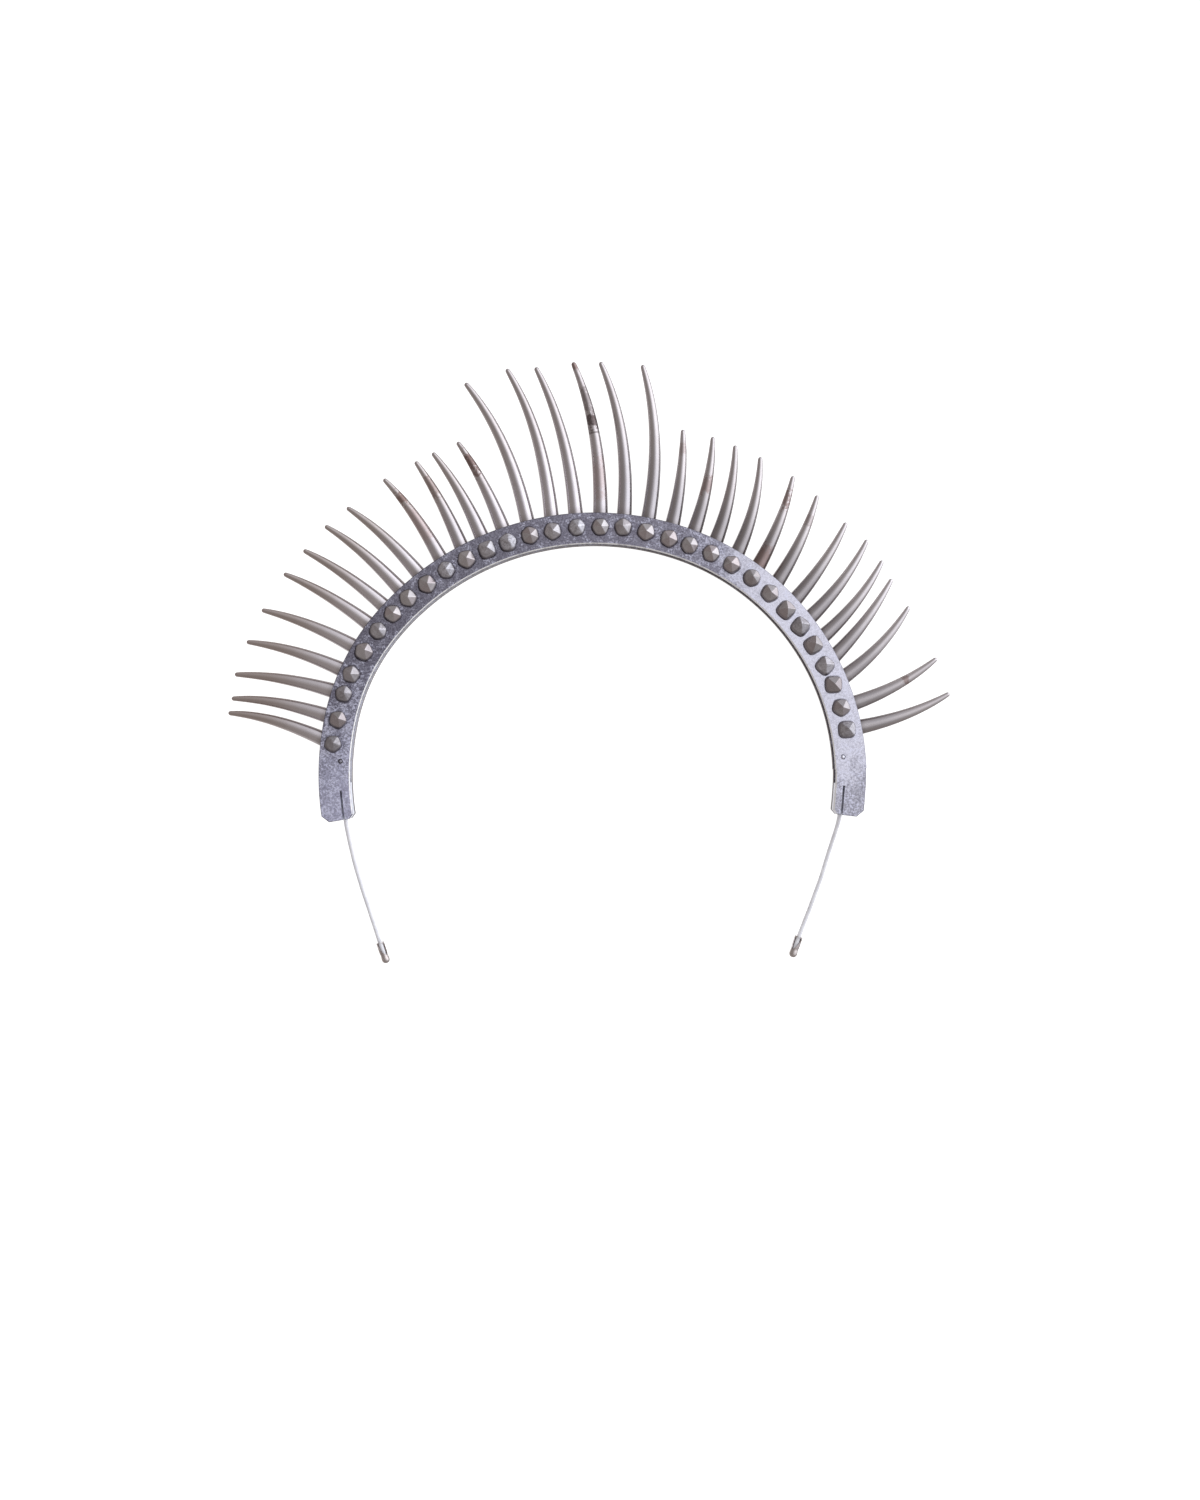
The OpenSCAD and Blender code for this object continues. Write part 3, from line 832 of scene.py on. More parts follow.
def hand_over(piece: bpy.types.Object, slot: str, *nodes: str) -> bpy.types.Object:
    """Attaches a finished piece to the body, hides the CAD nodes that it stands for, and logs it.

    Args:
        piece: The finished piece.
        slot: Not used.
        *nodes: The CAD nodes that it stands for.

    Returns:
        The piece.
    """
    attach(piece, BODY)
    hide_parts(*nodes)
    LOG.info("%s stands for %s", piece.name, ", ".join(nodes))
    return piece


class GeometryTree:
    """A geometry tree with named inputs, ending in plain mesh with a finish on it."""

    def __init__(self, name: str, **kinds: str) -> None:
        """Starts the tree.

        Args:
            name: The tree's name.
            **kinds: The kind of each input by its name, with an underscore for each space.
        """
        self.tree = bpy.data.node_groups.new(name, "GeometryNodeTree")
        labels = {label.replace("_", " "): kind for label, kind in kinds.items()} | {"Finish": "Material"}
        self.sockets = {label: group_socket(self.tree, label, kind) for label, kind in labels.items()}
        group_socket(self.tree, "Geometry", "Geometry", "OUTPUT")
        self.bench = NodeBench(self.tree)
        self.into = self.bench.outputs(self.bench.node("NodeGroupInput"))

    def end(self, shape: Value) -> None:
        """Ends the tree with its shape made real and given its finish.

        Args:
            shape: The shape.
        """
        shape = self.bench.add("GeometryNodeRealizeInstances", {"Geometry": shape})
        dressed = {"Geometry": shape, "Material": self.into["Finish"]}
        shape = self.bench.add("GeometryNodeSetMaterial", dressed)
        self.bench.feed(self.bench.node("NodeGroupOutput").inputs[0], shape)

    def put_on(self, piece: bpy.types.Object, values: dict[str, Feed]) -> None:
        """Puts the tree on a piece and sets its inputs by their identifiers.

        Args:
            piece: The piece.
            values: What each input gets, by its name.
        """
        modifier = piece.modifiers.new(self.tree.name, "NODES")
        modifier.node_group = self.tree
        for label, value in values.items():
            modifier[self.sockets[label]] = value


def bake(pieces: Sequence[bpy.types.Object]) -> None:
    """Turns each piece's geometry tree into a plain mesh and removes the modifier.

    Args:
        pieces: The pieces, each with a tree on it.
    """
    depsgraph = bpy.context.evaluated_depsgraph_get()
    made = [bpy.data.meshes.new_from_object(p.evaluated_get(depsgraph), depsgraph=depsgraph) for p in pieces]
    for piece, mesh in zip(pieces, made):
        piece.modifiers.clear()
        piece.data = mesh
        mesh.name = piece.name


@dataclass(frozen=True)
class Bend:
    """An arc of the band: the direction that it faces where it starts, its radius and its width."""

    starts: float
    radius: float
    width: float


@dataclass(frozen=True)
class Tab:
    """An end of the band, with its saw cut and its pin."""

    side: Side
    bend: int
    end: int
    turn: int
    slit_in: float
    pin_place: float
    pin_in: float


@dataclass(frozen=True)
class BandLine:
    """The middle line of the band and everything that is measured from it."""

    bends: tuple[Bend, ...] = (
        Bend(189.6, 82, 9.4),
        Bend(168, 64, 9.4),
        Bend(140, 82, 9.4),
        Bend(71, 74.5, 9.4),
        Bend(2, 50, 9.1),
        Bend(-3, 150, 9.1),
        Bend(-6.7, 150, 9.1),
    )
    crown: int = 2
    crown_centre: tuple[float, float] = (0.8, -4.6)
    tabs: tuple[Tab, ...] = (
        Tab(Side.LEFT, 0, 0, -1, 1.8, 174.4, 1.8),
        Tab(Side.RIGHT, 5, 6, 1, 2.0, 6.6, 2.1),
    )
    sheet: float = 1.0
    space: float = 4.6

    @property
    def front(self) -> float:
        """The underside of the front strip."""
        return self.sheet + self.space

    @property
    def face(self) -> float:
        """The face of the front strip."""
        return self.front + self.sheet

    @property
    def level(self) -> float:
        """The level of the spikes' middle."""
        return self.sheet + self.space / 2

    def centre(self, number: int) -> Vector:
        """Finds the centre of a bend, working outwards from the crown.

        Args:
            number: The bend's number, from 0 at the left tab.

        Returns:
            The centre.
        """
        if number == self.crown:
            return Vector(self.crown_centre)
        outwards = 1 if number > self.crown else -1
        nearer = number - outwards
        low = min(number, nearer)
        step = (self.bends[low].radius - self.bends[low + 1].radius) * towards(self.bends[low + 1].starts)
        return self.centre(nearer) + step * outwards

    def on_bend(self, number: int, facing: float, out: float = 0.0) -> Vector:
        """Returns the point of a bend that faces a direction, some way outside the middle line."""
        return self.centre(number) + (self.bends[number].radius + out) * towards(facing)

    def bend_at(self, place: float) -> int:
        """Finds the bend that a place round the arch lies on.

        Args:
            place: The place, in degrees.

        Returns:
            The bend's number.
        """
        last = len(self.bends) - 2
        for number in range(last):
            if place > bearing(self.on_bend(number + 1, self.bends[number + 1].starts)):
                return number
        return last

    def distance(self, place: float, out: float = 0.0) -> float:
        """Returns the line's distance from the origin at a place round the arch.

        Args:
            place: The place, in degrees.
            out: Millimetres outside the middle line.

        Returns:
            The distance in millimetres.
        """
        number = self.bend_at(place)
        centre = self.centre(number)
        ahead = towards(place)
        across = centre.x * ahead.y - centre.y * ahead.x
        return centre.dot(ahead) + math.sqrt((self.bends[number].radius + out) ** 2 - across * across)

    def point(self, place: float, out: float = 0.0) -> Vector:
        """Returns the point at a place round the arch, some way outside the middle line."""
        return self.distance(place, out) * towards(place)

    def on_tab(self, tab: Tab, up: float, out: float) -> Vector:
        """Returns a point of a tab, some millimetres up from its end and outside the middle line."""
        turn = math.degrees(up / self.bends[tab.bend].radius) * tab.turn
        return self.on_bend(tab.bend, self.bends[tab.end].starts + turn, out)

    def pin_centre(self, tab: Tab) -> Vector:
        """Returns the middle of a tab's pin."""
        return self.point(tab.pin_place, -tab.pin_in)


@dataclass(frozen=True)
class EdgePoint:
    """A point of a strip's outline and how wide the edge is rounded there."""

    at: Vector
    worn: float


@dataclass(frozen=True)
class Hole:
    """A round hole through a strip: its centre, its radius and how wide its rim is rounded."""

    at: Vector
    radius: float
    worn: float


@dataclass
class Strip:
    """One of the two strips: true arcs with rounded edges, cut corners, holes and perhaps saw cuts."""

    line: BandLine
    name: str
    low: float
    finish: bpy.types.Material
    saw_cuts: bool
    holes: list[Hole] = field(default_factory=list)
    outer_cut: float = 2.0
    inner_cut: float = 1.3
    slit_w: float = 0.5
    slit_len: float = 8.8
    slit_wander: tuple[float, ...] = (0.0, -0.02, 0.04, 0.10, 0.02, -0.04, -0.02, 0.0)
    outer_worn: float = 0.18
    inner_worn: float = 0.32
    slit_worn: float = 0.07
    under_worn: float = 0.1
    painted_wall_shade: float = 0.0
    line_dark: float = 0.75
    step: float = 1.1
    least_step: float = 0.02
    mitre_limit: float = 0.35
    round_steps: int = 4

    def run(self, side: int) -> list[EdgePoint]:
        """Follows one edge of the band from the left tab to the right one.

        Args:
            side: 1 for the outer edge and -1 for the inner one.

        Returns:
            The edge's points.
        """
        cut = self.outer_cut if side > 0 else self.inner_cut
        worn = self.outer_worn if side > 0 else self.inner_worn
        left, right = self.line.tabs
        points = []
        for number, (bend, after) in enumerate(zip(self.line.bends, self.line.bends[1:])):
            start = bend.starts
            stop = after.starts
            if number == left.bend:
                start += math.degrees(cut / bend.radius) * left.turn
            if number == right.bend:
                stop += math.degrees(cut / bend.radius) * right.turn
            count = max(2, math.ceil(abs(stop - start) / self.step))
            for k in range(count + 1):
                place = start + (stop - start) * k / count
                points.append(EdgePoint(self.line.on_bend(number, place, side * bend.width / 2), worn))
        return points

    def tab_end(self, tab: Tab) -> list[EdgePoint]:
        """Follows the end of a tab from its outer corner to its inner one, with the saw cut on the way.

        Args:
            tab: The tab.

        Returns:
            The end's points.
        """
        half = self.line.bends[tab.bend].width / 2
        points = [EdgePoint(self.line.on_tab(tab, 0, half - self.outer_cut), self.outer_worn)]
        if self.saw_cuts:
            foot = self.line.on_tab(tab, 0, -tab.slit_in)
            head = self.line.on_tab(tab, self.slit_len, -tab.slit_in)
            ahead = (head - foot).normalized()
            outwards = (self.line.on_tab(tab, 0, 1) - self.line.on_tab(tab, 0, 0)).normalized()
            across = outwards * self.slit_w / 2
            last = len(self.slit_wander) - 1
            middle = [
                foot + ahead * self.slit_len * k / last + across * 2 * aside
                for k, aside in enumerate(self.slit_wander)
            ]
            points += [EdgePoint(spot + across, self.slit_worn) for spot in middle]
            points += [EdgePoint(spot - across, self.slit_worn) for spot in reversed(middle)]
        points.append(EdgePoint(self.line.on_tab(tab, 0, self.inner_cut - half), self.outer_worn))
        return points

    def outline(self) -> list[EdgePoint]:
        """Joins both edges and both ends, and drops points that all but meet.

        Returns:
            The whole outline, running anticlockwise seen from above.
        """
        left, right = self.line.tabs
        points = self.run(1) + self.tab_end(right) + self.run(-1)[::-1] + self.tab_end(left)[::-1]
        kept = [points[0]]
        for point in points[1:]:
            if (point.at - kept[-1].at).length > self.least_step:
                kept.append(point)
        return kept[::-1]

    def inward(self, loop: list[EdgePoint]) -> list[Vector]:
        """Finds the mitred step from each point of a loop into the metal, for one millimetre of rounding.

        Args:
            loop: The loop, with the metal on its left.

        Returns:
            The step of each point.
        """
        steps = []
        for number, point in enumerate(loop):
            before = (point.at - loop[number - 1].at).normalized()
            after = (loop[(number + 1) % len(loop)].at - point.at).normalized()
            first = Vector((-before.y, before.x))
            second = Vector((-after.y, after.x))
            steps.append((first + second) / max(self.mitre_limit, 1 + first.dot(second)))
        return steps

    def levels(self, worn: float) -> list[tuple[float, float]]:
        """Lays out the levels of an edge from the underside up to the face.

        Args:
            worn: How wide the edge is rounded at the face.

        Returns:
            How far in and how high each level lies.
        """
        quarter = [math.pi / 2 * k / self.round_steps for k in range(self.round_steps + 1)]
        low, high, small = self.low, self.low + self.line.sheet, min(self.under_worn, worn)
        under = [(small * (1 - math.sin(a)), low + small * (1 - math.cos(a))) for a in quarter]
        over = [(worn * (1 - math.cos(a)), high - worn + worn * math.sin(a)) for a in quarter]
        return under + over

    def wall(
        self, form: bmesh.types.BMesh, loop: list[EdgePoint], edge_mark: bmesh.types.BMLayerItem,
    ) -> tuple[list[bmesh.types.BMVert], list[bmesh.types.BMVert]]:
        """Builds the rounded edge along one loop.

        Args:
            form: The mesh that is being built.
            loop: The loop, with the metal on its left.
            edge_mark: The face layer that marks rounded edges.

        Returns:
            The vertices of the loop at the underside and at the face.
        """
        steps = self.inward(loop)
        rings = []
        for number in range(2 * self.round_steps + 2):
            ring = []
            for point, step in zip(loop, steps):
                inset, height = self.levels(point.worn)[number]
                spot = point.at + step * inset
                ring.append(form.verts.new((spot.x * MM, spot.y * MM, height * MM)))
            rings.append(ring)
        count = len(loop)
        for number, (lower, upper) in enumerate(zip(rings, rings[1:])):
            for k in range(count):
                after = (k + 1) % count
                face = form.faces.new((lower[k], lower[after], upper[after], upper[k]))
                face.smooth = True
                face[edge_mark] = self.mark(loop[k].worn, number)
        for ring in (rings[0], rings[-1], rings[self.round_steps], rings[self.round_steps + 1]):
            for k in range(count):
                edge = form.edges.get((ring[k], ring[(k + 1) % count]))
                edge.smooth = ring is not rings[0] and ring is not rings[-1]
        return rings[0], rings[-1]

    def mark(self, worn: float, number: int) -> float:
        """Tells how a face of the edge is marked.

        Args:
            worn: How wide the edge is rounded there.
            number: The face's level, counted up from the underside.

        Returns:
            Above 0 where the edge is painted pale, partly as a filed edge and partly as a painted highlight,
            and below 0 where it is dark; the back strip's walls are dark as painted shade.
        """
        # The under rounding and the wall can be painted dark as shade, standing in for the contact shadow
        # along the back strip's foot.
        if number <= self.round_steps:
            return -self.painted_wall_shade
        return (worn / self.inner_worn) ** 2 if worn > self.outer_worn else -self.line_dark

    def cover(self, form: bmesh.types.BMesh, loops: list[list[bmesh.types.BMVert]], turned: bool) -> None:
        """Closes the flat side between the outline and the holes.

        Args:
            form: The mesh that is being built.
            loops: The vertices of the outline and of each hole.
            turned: Whether the faces look down.
        """
        corners = [v for loop in loops for v in loop]
        flat = [Vector((v.co.x / MM, v.co.y / MM)) for v in corners]
        sides, start = [], 0
        for loop in loops:
            sides += [(start + k, start + (k + 1) % len(loop)) for k in range(len(loop))]
            start += len(loop)
        inside_only, tolerance = 1, 1e-6
        spots, _, faces, sources, _, _ = geometry.delaunay_2d_cdt(flat, sides, [], inside_only, tolerance)
        for face in faces:
            middle = sum((spots[k] for k in face), Vector((0, 0))) / len(face)
            if any((middle - hole.at).length < hole.radius for hole in self.holes):
                continue
            ring = [corners[sources[k][0]] for k in face]
            form.faces.new(ring[::-1] if turned else ring).smooth = True

    def build(self) -> bpy.types.Object:
        """Builds the strip.

        Returns:
            The finished piece.
        """
        form = bmesh.new()
        edge_mark = form.faces.layers.float.new("edge")
        turns = [-2 * math.pi * k / BORE_SIDES for k in range(BORE_SIDES)]
        ways = [Vector((math.cos(turn), math.sin(turn))) for turn in turns]
        loops = [self.outline()]
        for hole in self.holes:
            loops.append([EdgePoint(hole.at + hole.radius * way, hole.worn) for way in ways])
        ends = [self.wall(form, loop, edge_mark) for loop in loops]
        self.cover(form, [low for low, _ in ends], turned=True)
        self.cover(form, [high for _, high in ends], turned=False)
        piece = link(f"{self.name}_dressed", make_mesh(self.name, form, self.finish))
        return hand_over(piece, "sheet", self.name)


@dataclass(frozen=True)
class Spike:
    """One spike: its place, how far its rivet is outside the line, its sweep, bow, reach and stains."""

    place: float
    out: float
    sweep: float
    bow: float
    reach: float
    stains: tuple[Stain, ...] = ()


SOOT = (0.075, 0.05, 0.048)
PINK = (0.40, 0.29, 0.27)
RUST = (0.20, 0.115, 0.095)

SPIKES = (
    Spike(170.8, 0.9, -2.1, 1.2, 112),
    Spike(165.4, 0.6, 1.0, 0.8, 112),
    Spike(159.7, 0.9, 3.0, 0.5, 113),
    Spike(155.1, 0.9, 2.3, 0.7, 113),
    Spike(149.6, 0.7, 2.4, 0.6, 113),
    Spike(144.1, 0.7, 1.4, 0.6, 113),
    Spike(139.2, 0.7, 1.6, 0.6, 112.5),
    Spike(134.4, 0.7, 1.4, 0.7, 112.5),
    Spike(129.3, 0.3, 2.1, 0.7, 112),
    Spike(124.0, 0.4, 0.2, 0.8, 112, (
        Stain(0.42, 0.42, 0.5, PINK, 0.5),
        Stain(0.73, 0.14, 0.75, RUST, 1.0),
    )),
    Spike(119.0, 0.1, -0.4, 0.7, 111.5, (Stain(0.68, 0.24, 0.5, RUST, 0.9),)),
    Spike(114.0, 0.0, 1.6, 0.7, 111.5),
    Spike(109.1, -0.2, 2.3, 0.6, 111.5, (Stain(0.76, 0.22, 0.75, ragged=1.1),)),
    Spike(103.9, 0.1, 3.6, 1.4, 127.5),
    Spike(98.8, 0.0, 2.8, 1.4, 128.5),
    Spike(93.4, 0.3, 4.3, 1.0, 127.5),
    Spike(88.2, 0.3, 4.4, 1.1, 128, (
        Stain(0.98, 0.07, 0.7, RUST, 0.5),
        Stain(0.74, 0.22, 0.5, SOOT, 1.3),
        Stain(0.60, 0.09, 0.8, SOOT, 0.8),
        Stain(0.53, 0.012, 0.6, SOOT, 0.2),
        Stain(0.24, 0.26, 0.45, PINK, 0.6),
    )),
    Spike(83.1, 0.6, 5.8, 1.2, 128),
    Spike(78.0, 0.3, 5.2, 1.2, 128),
    Spike(72.7, -0.1, 3.0, 0.5, 111, (Stain(0.80, 0.12, 0.35, RUST, 1.2),)),
    Spike(68.0, -0.1, 2.9, 0.6, 111.5, (Stain(0.50, 0.18, 0.5, RUST, 1.0),)),
    Spike(62.9, 0.2, 4.3, 0.7, 111.5),
    Spike(57.7, 0.2, 5.2, 0.8, 111.5),
    Spike(52.5, 0.2, 4.5, 0.5, 111.5, (
        Stain(0.74, 0.18, 0.65, RUST, 1.4),
        Stain(0.08, 0.30, 0.6, RUST, 0.5),
    )),
    Spike(47.3, 0.1, 4.9, 0.5, 111, (Stain(0.72, 0.12, 0.3, ragged=0.9),)),
    Spike(42.2, -0.1, 3.8, 0.5, 110.5),
    Spike(37.4, 0.0, 4.4, 0.7, 111.5),
    Spike(32.5, 0.0, 5.3, 0.7, 111),
    Spike(27.3, 0.1, 7.3, 0.3, 110),
    Spike(22.8, 0.1, 6.7, 0.7, 110),
    Spike(17.5, 0.0, 2.8, 0.8, 111, (Stain(0.60, 0.06, 0.6, RUST, 1.1),)),
    Spike(12.5, 0.1, 2.0, 0.8, 111.5),
)


@dataclass
class SpikeRow:
    """The thirty-two curved spikes, each swept by one geometry tree along its own curve."""

    line: BandLine
    root_d: float = 4.5
    tip_d: float = 1.2
    root_tail: float = 2.6
    root_round: float = 0.4
    short_taper: float = 0.75
    long_taper: float = 0.6
    long_reach: float = 120.0
    tip_flat: float = 0.985
    root_share: float = 0.88
    rings: int = 56
    sides: int = 28
    wave: float = 0.09
    wave_scale: float = 150.0
    wave_full: float = 0.08

    def tree(self) -> GeometryTree:
        """Makes the tree that sweeps a tapering spike along its curve.

        Returns:
            The tree.
        """
        tree = GeometryTree(
            "curved_spike", Place="Float", Start="Float", Reach="Float", Sweep="Float", Bow="Float",
            Root_End="Float", Band_Edge="Float", Root_Half="Float", Tip_Half="Float", Root_Round="Float",
            Taper="Float", Level="Float", Wave="Float", Rings="Int", Sides="Int", Seed="Int",
        )
        bench, into = tree.bench, tree.into
        rod = bench.add("GeometryNodeCurvePrimitiveLine", {"End": (1.0, 0.0, 0.0)})
        rod = bench.add("GeometryNodeResampleCurve", {"Curve": rod, "Count": into["Rings"]})
        part = bench.outputs(bench.node("GeometryNodeSplineParameter"))["Factor"]
        eased = 1.0 - (1.0 - part) * (1.0 - part)
        travel = into["Root End"] + eased * (1.0 - into["Root End"])
        rod = bench.store(rod, "travel", travel)
        travel = bench.named("travel")
        to_tip = 1.0 - travel

        length = into["Reach"] - into["Start"]
        away = into["Start"] + length * travel
        angle = into["Place"] + into["Sweep"] * travel - into["Bow"] * travel * to_tip * 4.0
        spot = bench.around(away, angle, into["Level"])

        out = bench.maths("DIVIDE", travel - into["Band Edge"], 1.0 - into["Band Edge"], clamp=True)
        half = into["Tip Half"] + (into["Root Half"] - into["Tip Half"]) * (1.0 - out) ** into["Taper"]
        over = 1.0 - bench.maths("MINIMUM", to_tip * length / into["Tip Half"], 1.0)
        dome = bench.maths("SQRT", 1.0 - over * over * self.tip_flat)
        from_root = (travel - into["Root End"]) * length
        shoulder = bench.spread(from_root, 0.0, into["Root Round"], self.root_share, 1.0)

        rod = bench.store(rod, "along", out)
        rod = bench.add("GeometryNodeSetPosition", {"Geometry": rod, "Position": spot})
        ring = bench.add("GeometryNodeCurvePrimitiveCircle", {"Resolution": into["Sides"], "Radius": 1.0})
        horn = bench.add(
            "GeometryNodeCurveToMesh",
            {"Curve": rod, "Profile Curve": ring, "Scale": half * dome * shoulder, "Fill Caps": True},
        )
        where = bench.add("GeometryNodeInputPosition")
        lumps = bench.lumps(where, into["Seed"], self.wave_scale, 2.0)
        share = bench.spread(bench.named("along"), 0.0, self.wave_full)
        horn = bench.push_out(horn, lumps * into["Wave"] * share)
        tree.end(bench.add("GeometryNodeSetShadeSmooth", {"Geometry": horn}))
        return tree

    def values(self, spike: Spike, number: int, finish: bpy.types.Material) -> dict[str, Feed]:
        """Works out what the tree's inputs get for one spike.

        Args:
            spike: The spike.
            number: Its number, which is also the seed of its waviness.
            finish: Its finish.

        Returns:
            The values by the inputs' names.
        """
        start = self.line.distance(spike.place, spike.out)
        run = spike.reach - start
        edge = self.line.distance(spike.place, self.line.bends[0].width / 2) - start
        return {
            "Place": math.radians(spike.place),
            "Start": start * MM,
            "Reach": spike.reach * MM,
            "Sweep": math.radians(spike.sweep),
            "Bow": math.radians(spike.bow),
            "Root End": -self.root_tail / run,
            "Band Edge": edge / run,
            "Root Half": self.root_d / 2 * MM,
            "Tip Half": self.tip_d / 2 * MM,
            "Root Round": self.root_round * MM,
            "Taper": self.long_taper if spike.reach > self.long_reach else self.short_taper,
            "Level": self.line.level * MM,
            "Wave": self.wave * MM,
            "Rings": self.rings,
            "Sides": self.sides,
            "Seed": number,
            "Finish": finish,
        }

    def build(self) -> list[bpy.types.Object]:
        """Builds all spikes.

        Returns:
            The finished pieces.
        """
        tree = self.tree()
        clean = CastFinish().build()
        pieces = []
        for number, spike in enumerate(SPIKES, 1):
            name = f"spike_{number:02d}"
            finish = clean
            if spike.stains:
                finish = CastFinish(f"cast_metal_{number:02d}", stains=spike.stains).build()
            piece = link(f"{name}_dressed", bpy.data.meshes.new(name))
            tree.put_on(piece, self.values(spike, number, finish))
            pieces.append(piece)
        bake(pieces)
        for number, piece in enumerate(pieces, 1):
            hand_over(piece, "cast", f"spike_{number:02d}")
        return pieces


@dataclass(frozen=True)
class Stud:
    """One stud: its facets, its turn, its peak's lean, and how grey, crisp, wide, tall and dim it is."""

    facets: int
    turn: float
    lean: tuple[float, float] = (0.0, 0.0)
    grey: float = 0.1
    crisp: float = 22.0
    wide: float = 1.0
    tall: float = 1.0
    dim: float = 0.0


STUDS = (
    Stud(5, 20, (0.5, 0.4), 0.8, 9, 0.95, 0.85, dim=0.75),
    Stud(5, 25, (0.6, 0.3), 0.15, dim=0.35),
    Stud(5, 40, (0.5, 0.3), 0.7, 9, 0.95, 0.85, dim=0.6),
    Stud(5, 40, (0.2, 0.0), 0.35, 14, dim=0.4),
    Stud(5, 28, (0.7, 0.5), 0.2, 26, 1.04),
    Stud(6, 40, (0.6, 0.3), 0.6, 12, dim=0.15),
    Stud(5, 22, (0.5, 0.1), 0.1),
    Stud(5, 45, (0.2, 0.1), 0.1, dim=0.15),
    Stud(5, 42, (0.4, 0.1), 0.1, 22, 1.04, dim=0.1),
    Stud(6, 30, (0.1, 0.2), 1.0, 20),
    Stud(5, 30, (0.2, 0.3), 0.1, 22, 1.03),
    Stud(4, 20, (0.2, 0.6), 0.7, 12),
    Stud(5, 55, (0.3, 0.5), 1.0, 8, 1.02, 0.85),
    Stud(6, 15, (0.3, 0.0), 0.1, 20, 1.03, dim=0.15),
    Stud(5, 15, (0.2, 0.0), 0.5, 14),
    Stud(6, 40, (0.4, 0.2), 0.9, 10, 0.98, 0.85),
    Stud(6, 35, (0.4, 0.0), 0.2),
    Stud(5, 55, (-0.1, 0.2), 0.4, 11, dim=0.2),
    Stud(5, 10, (0.1, 0.0), 0.1),
    Stud(5, 18, (0.0, 0.1), 0.1),
    Stud(6, 30, (0.3, 0.0), 0.2),
    Stud(6, 15, (0.1, 0.0), 0.1),
    Stud(5, 18, (-0.3, 0.4), 0.1, 26),
    Stud(7, 30, (0.35, 0.35), 0.15, 16, tall=0.9, dim=0.5),
    Stud(5, 5, (0.3, 0.2), 0.2, tall=0.94, dim=0.15),
    Stud(4, 47, (0.4, 0.4), 0.1, dim=0.25),
    Stud(4, 52, (0.2, 0.9), 0.7, 10, dim=0.3),
    Stud(4, 33, (0.6, 0.5), 0.1, dim=0.3),
    Stud(4, 49, (0.15, 0.45), 0.7, 12),
    Stud(4, 2, (0.2, 0.1), 0.15, 26, dim=0.4),
    Stud(5, 22, (0.3, 0.05), 0.2, 26, dim=0.3),
    Stud(4, 3, (0.3, 0.25), 0.8, 12, dim=0.3),
)


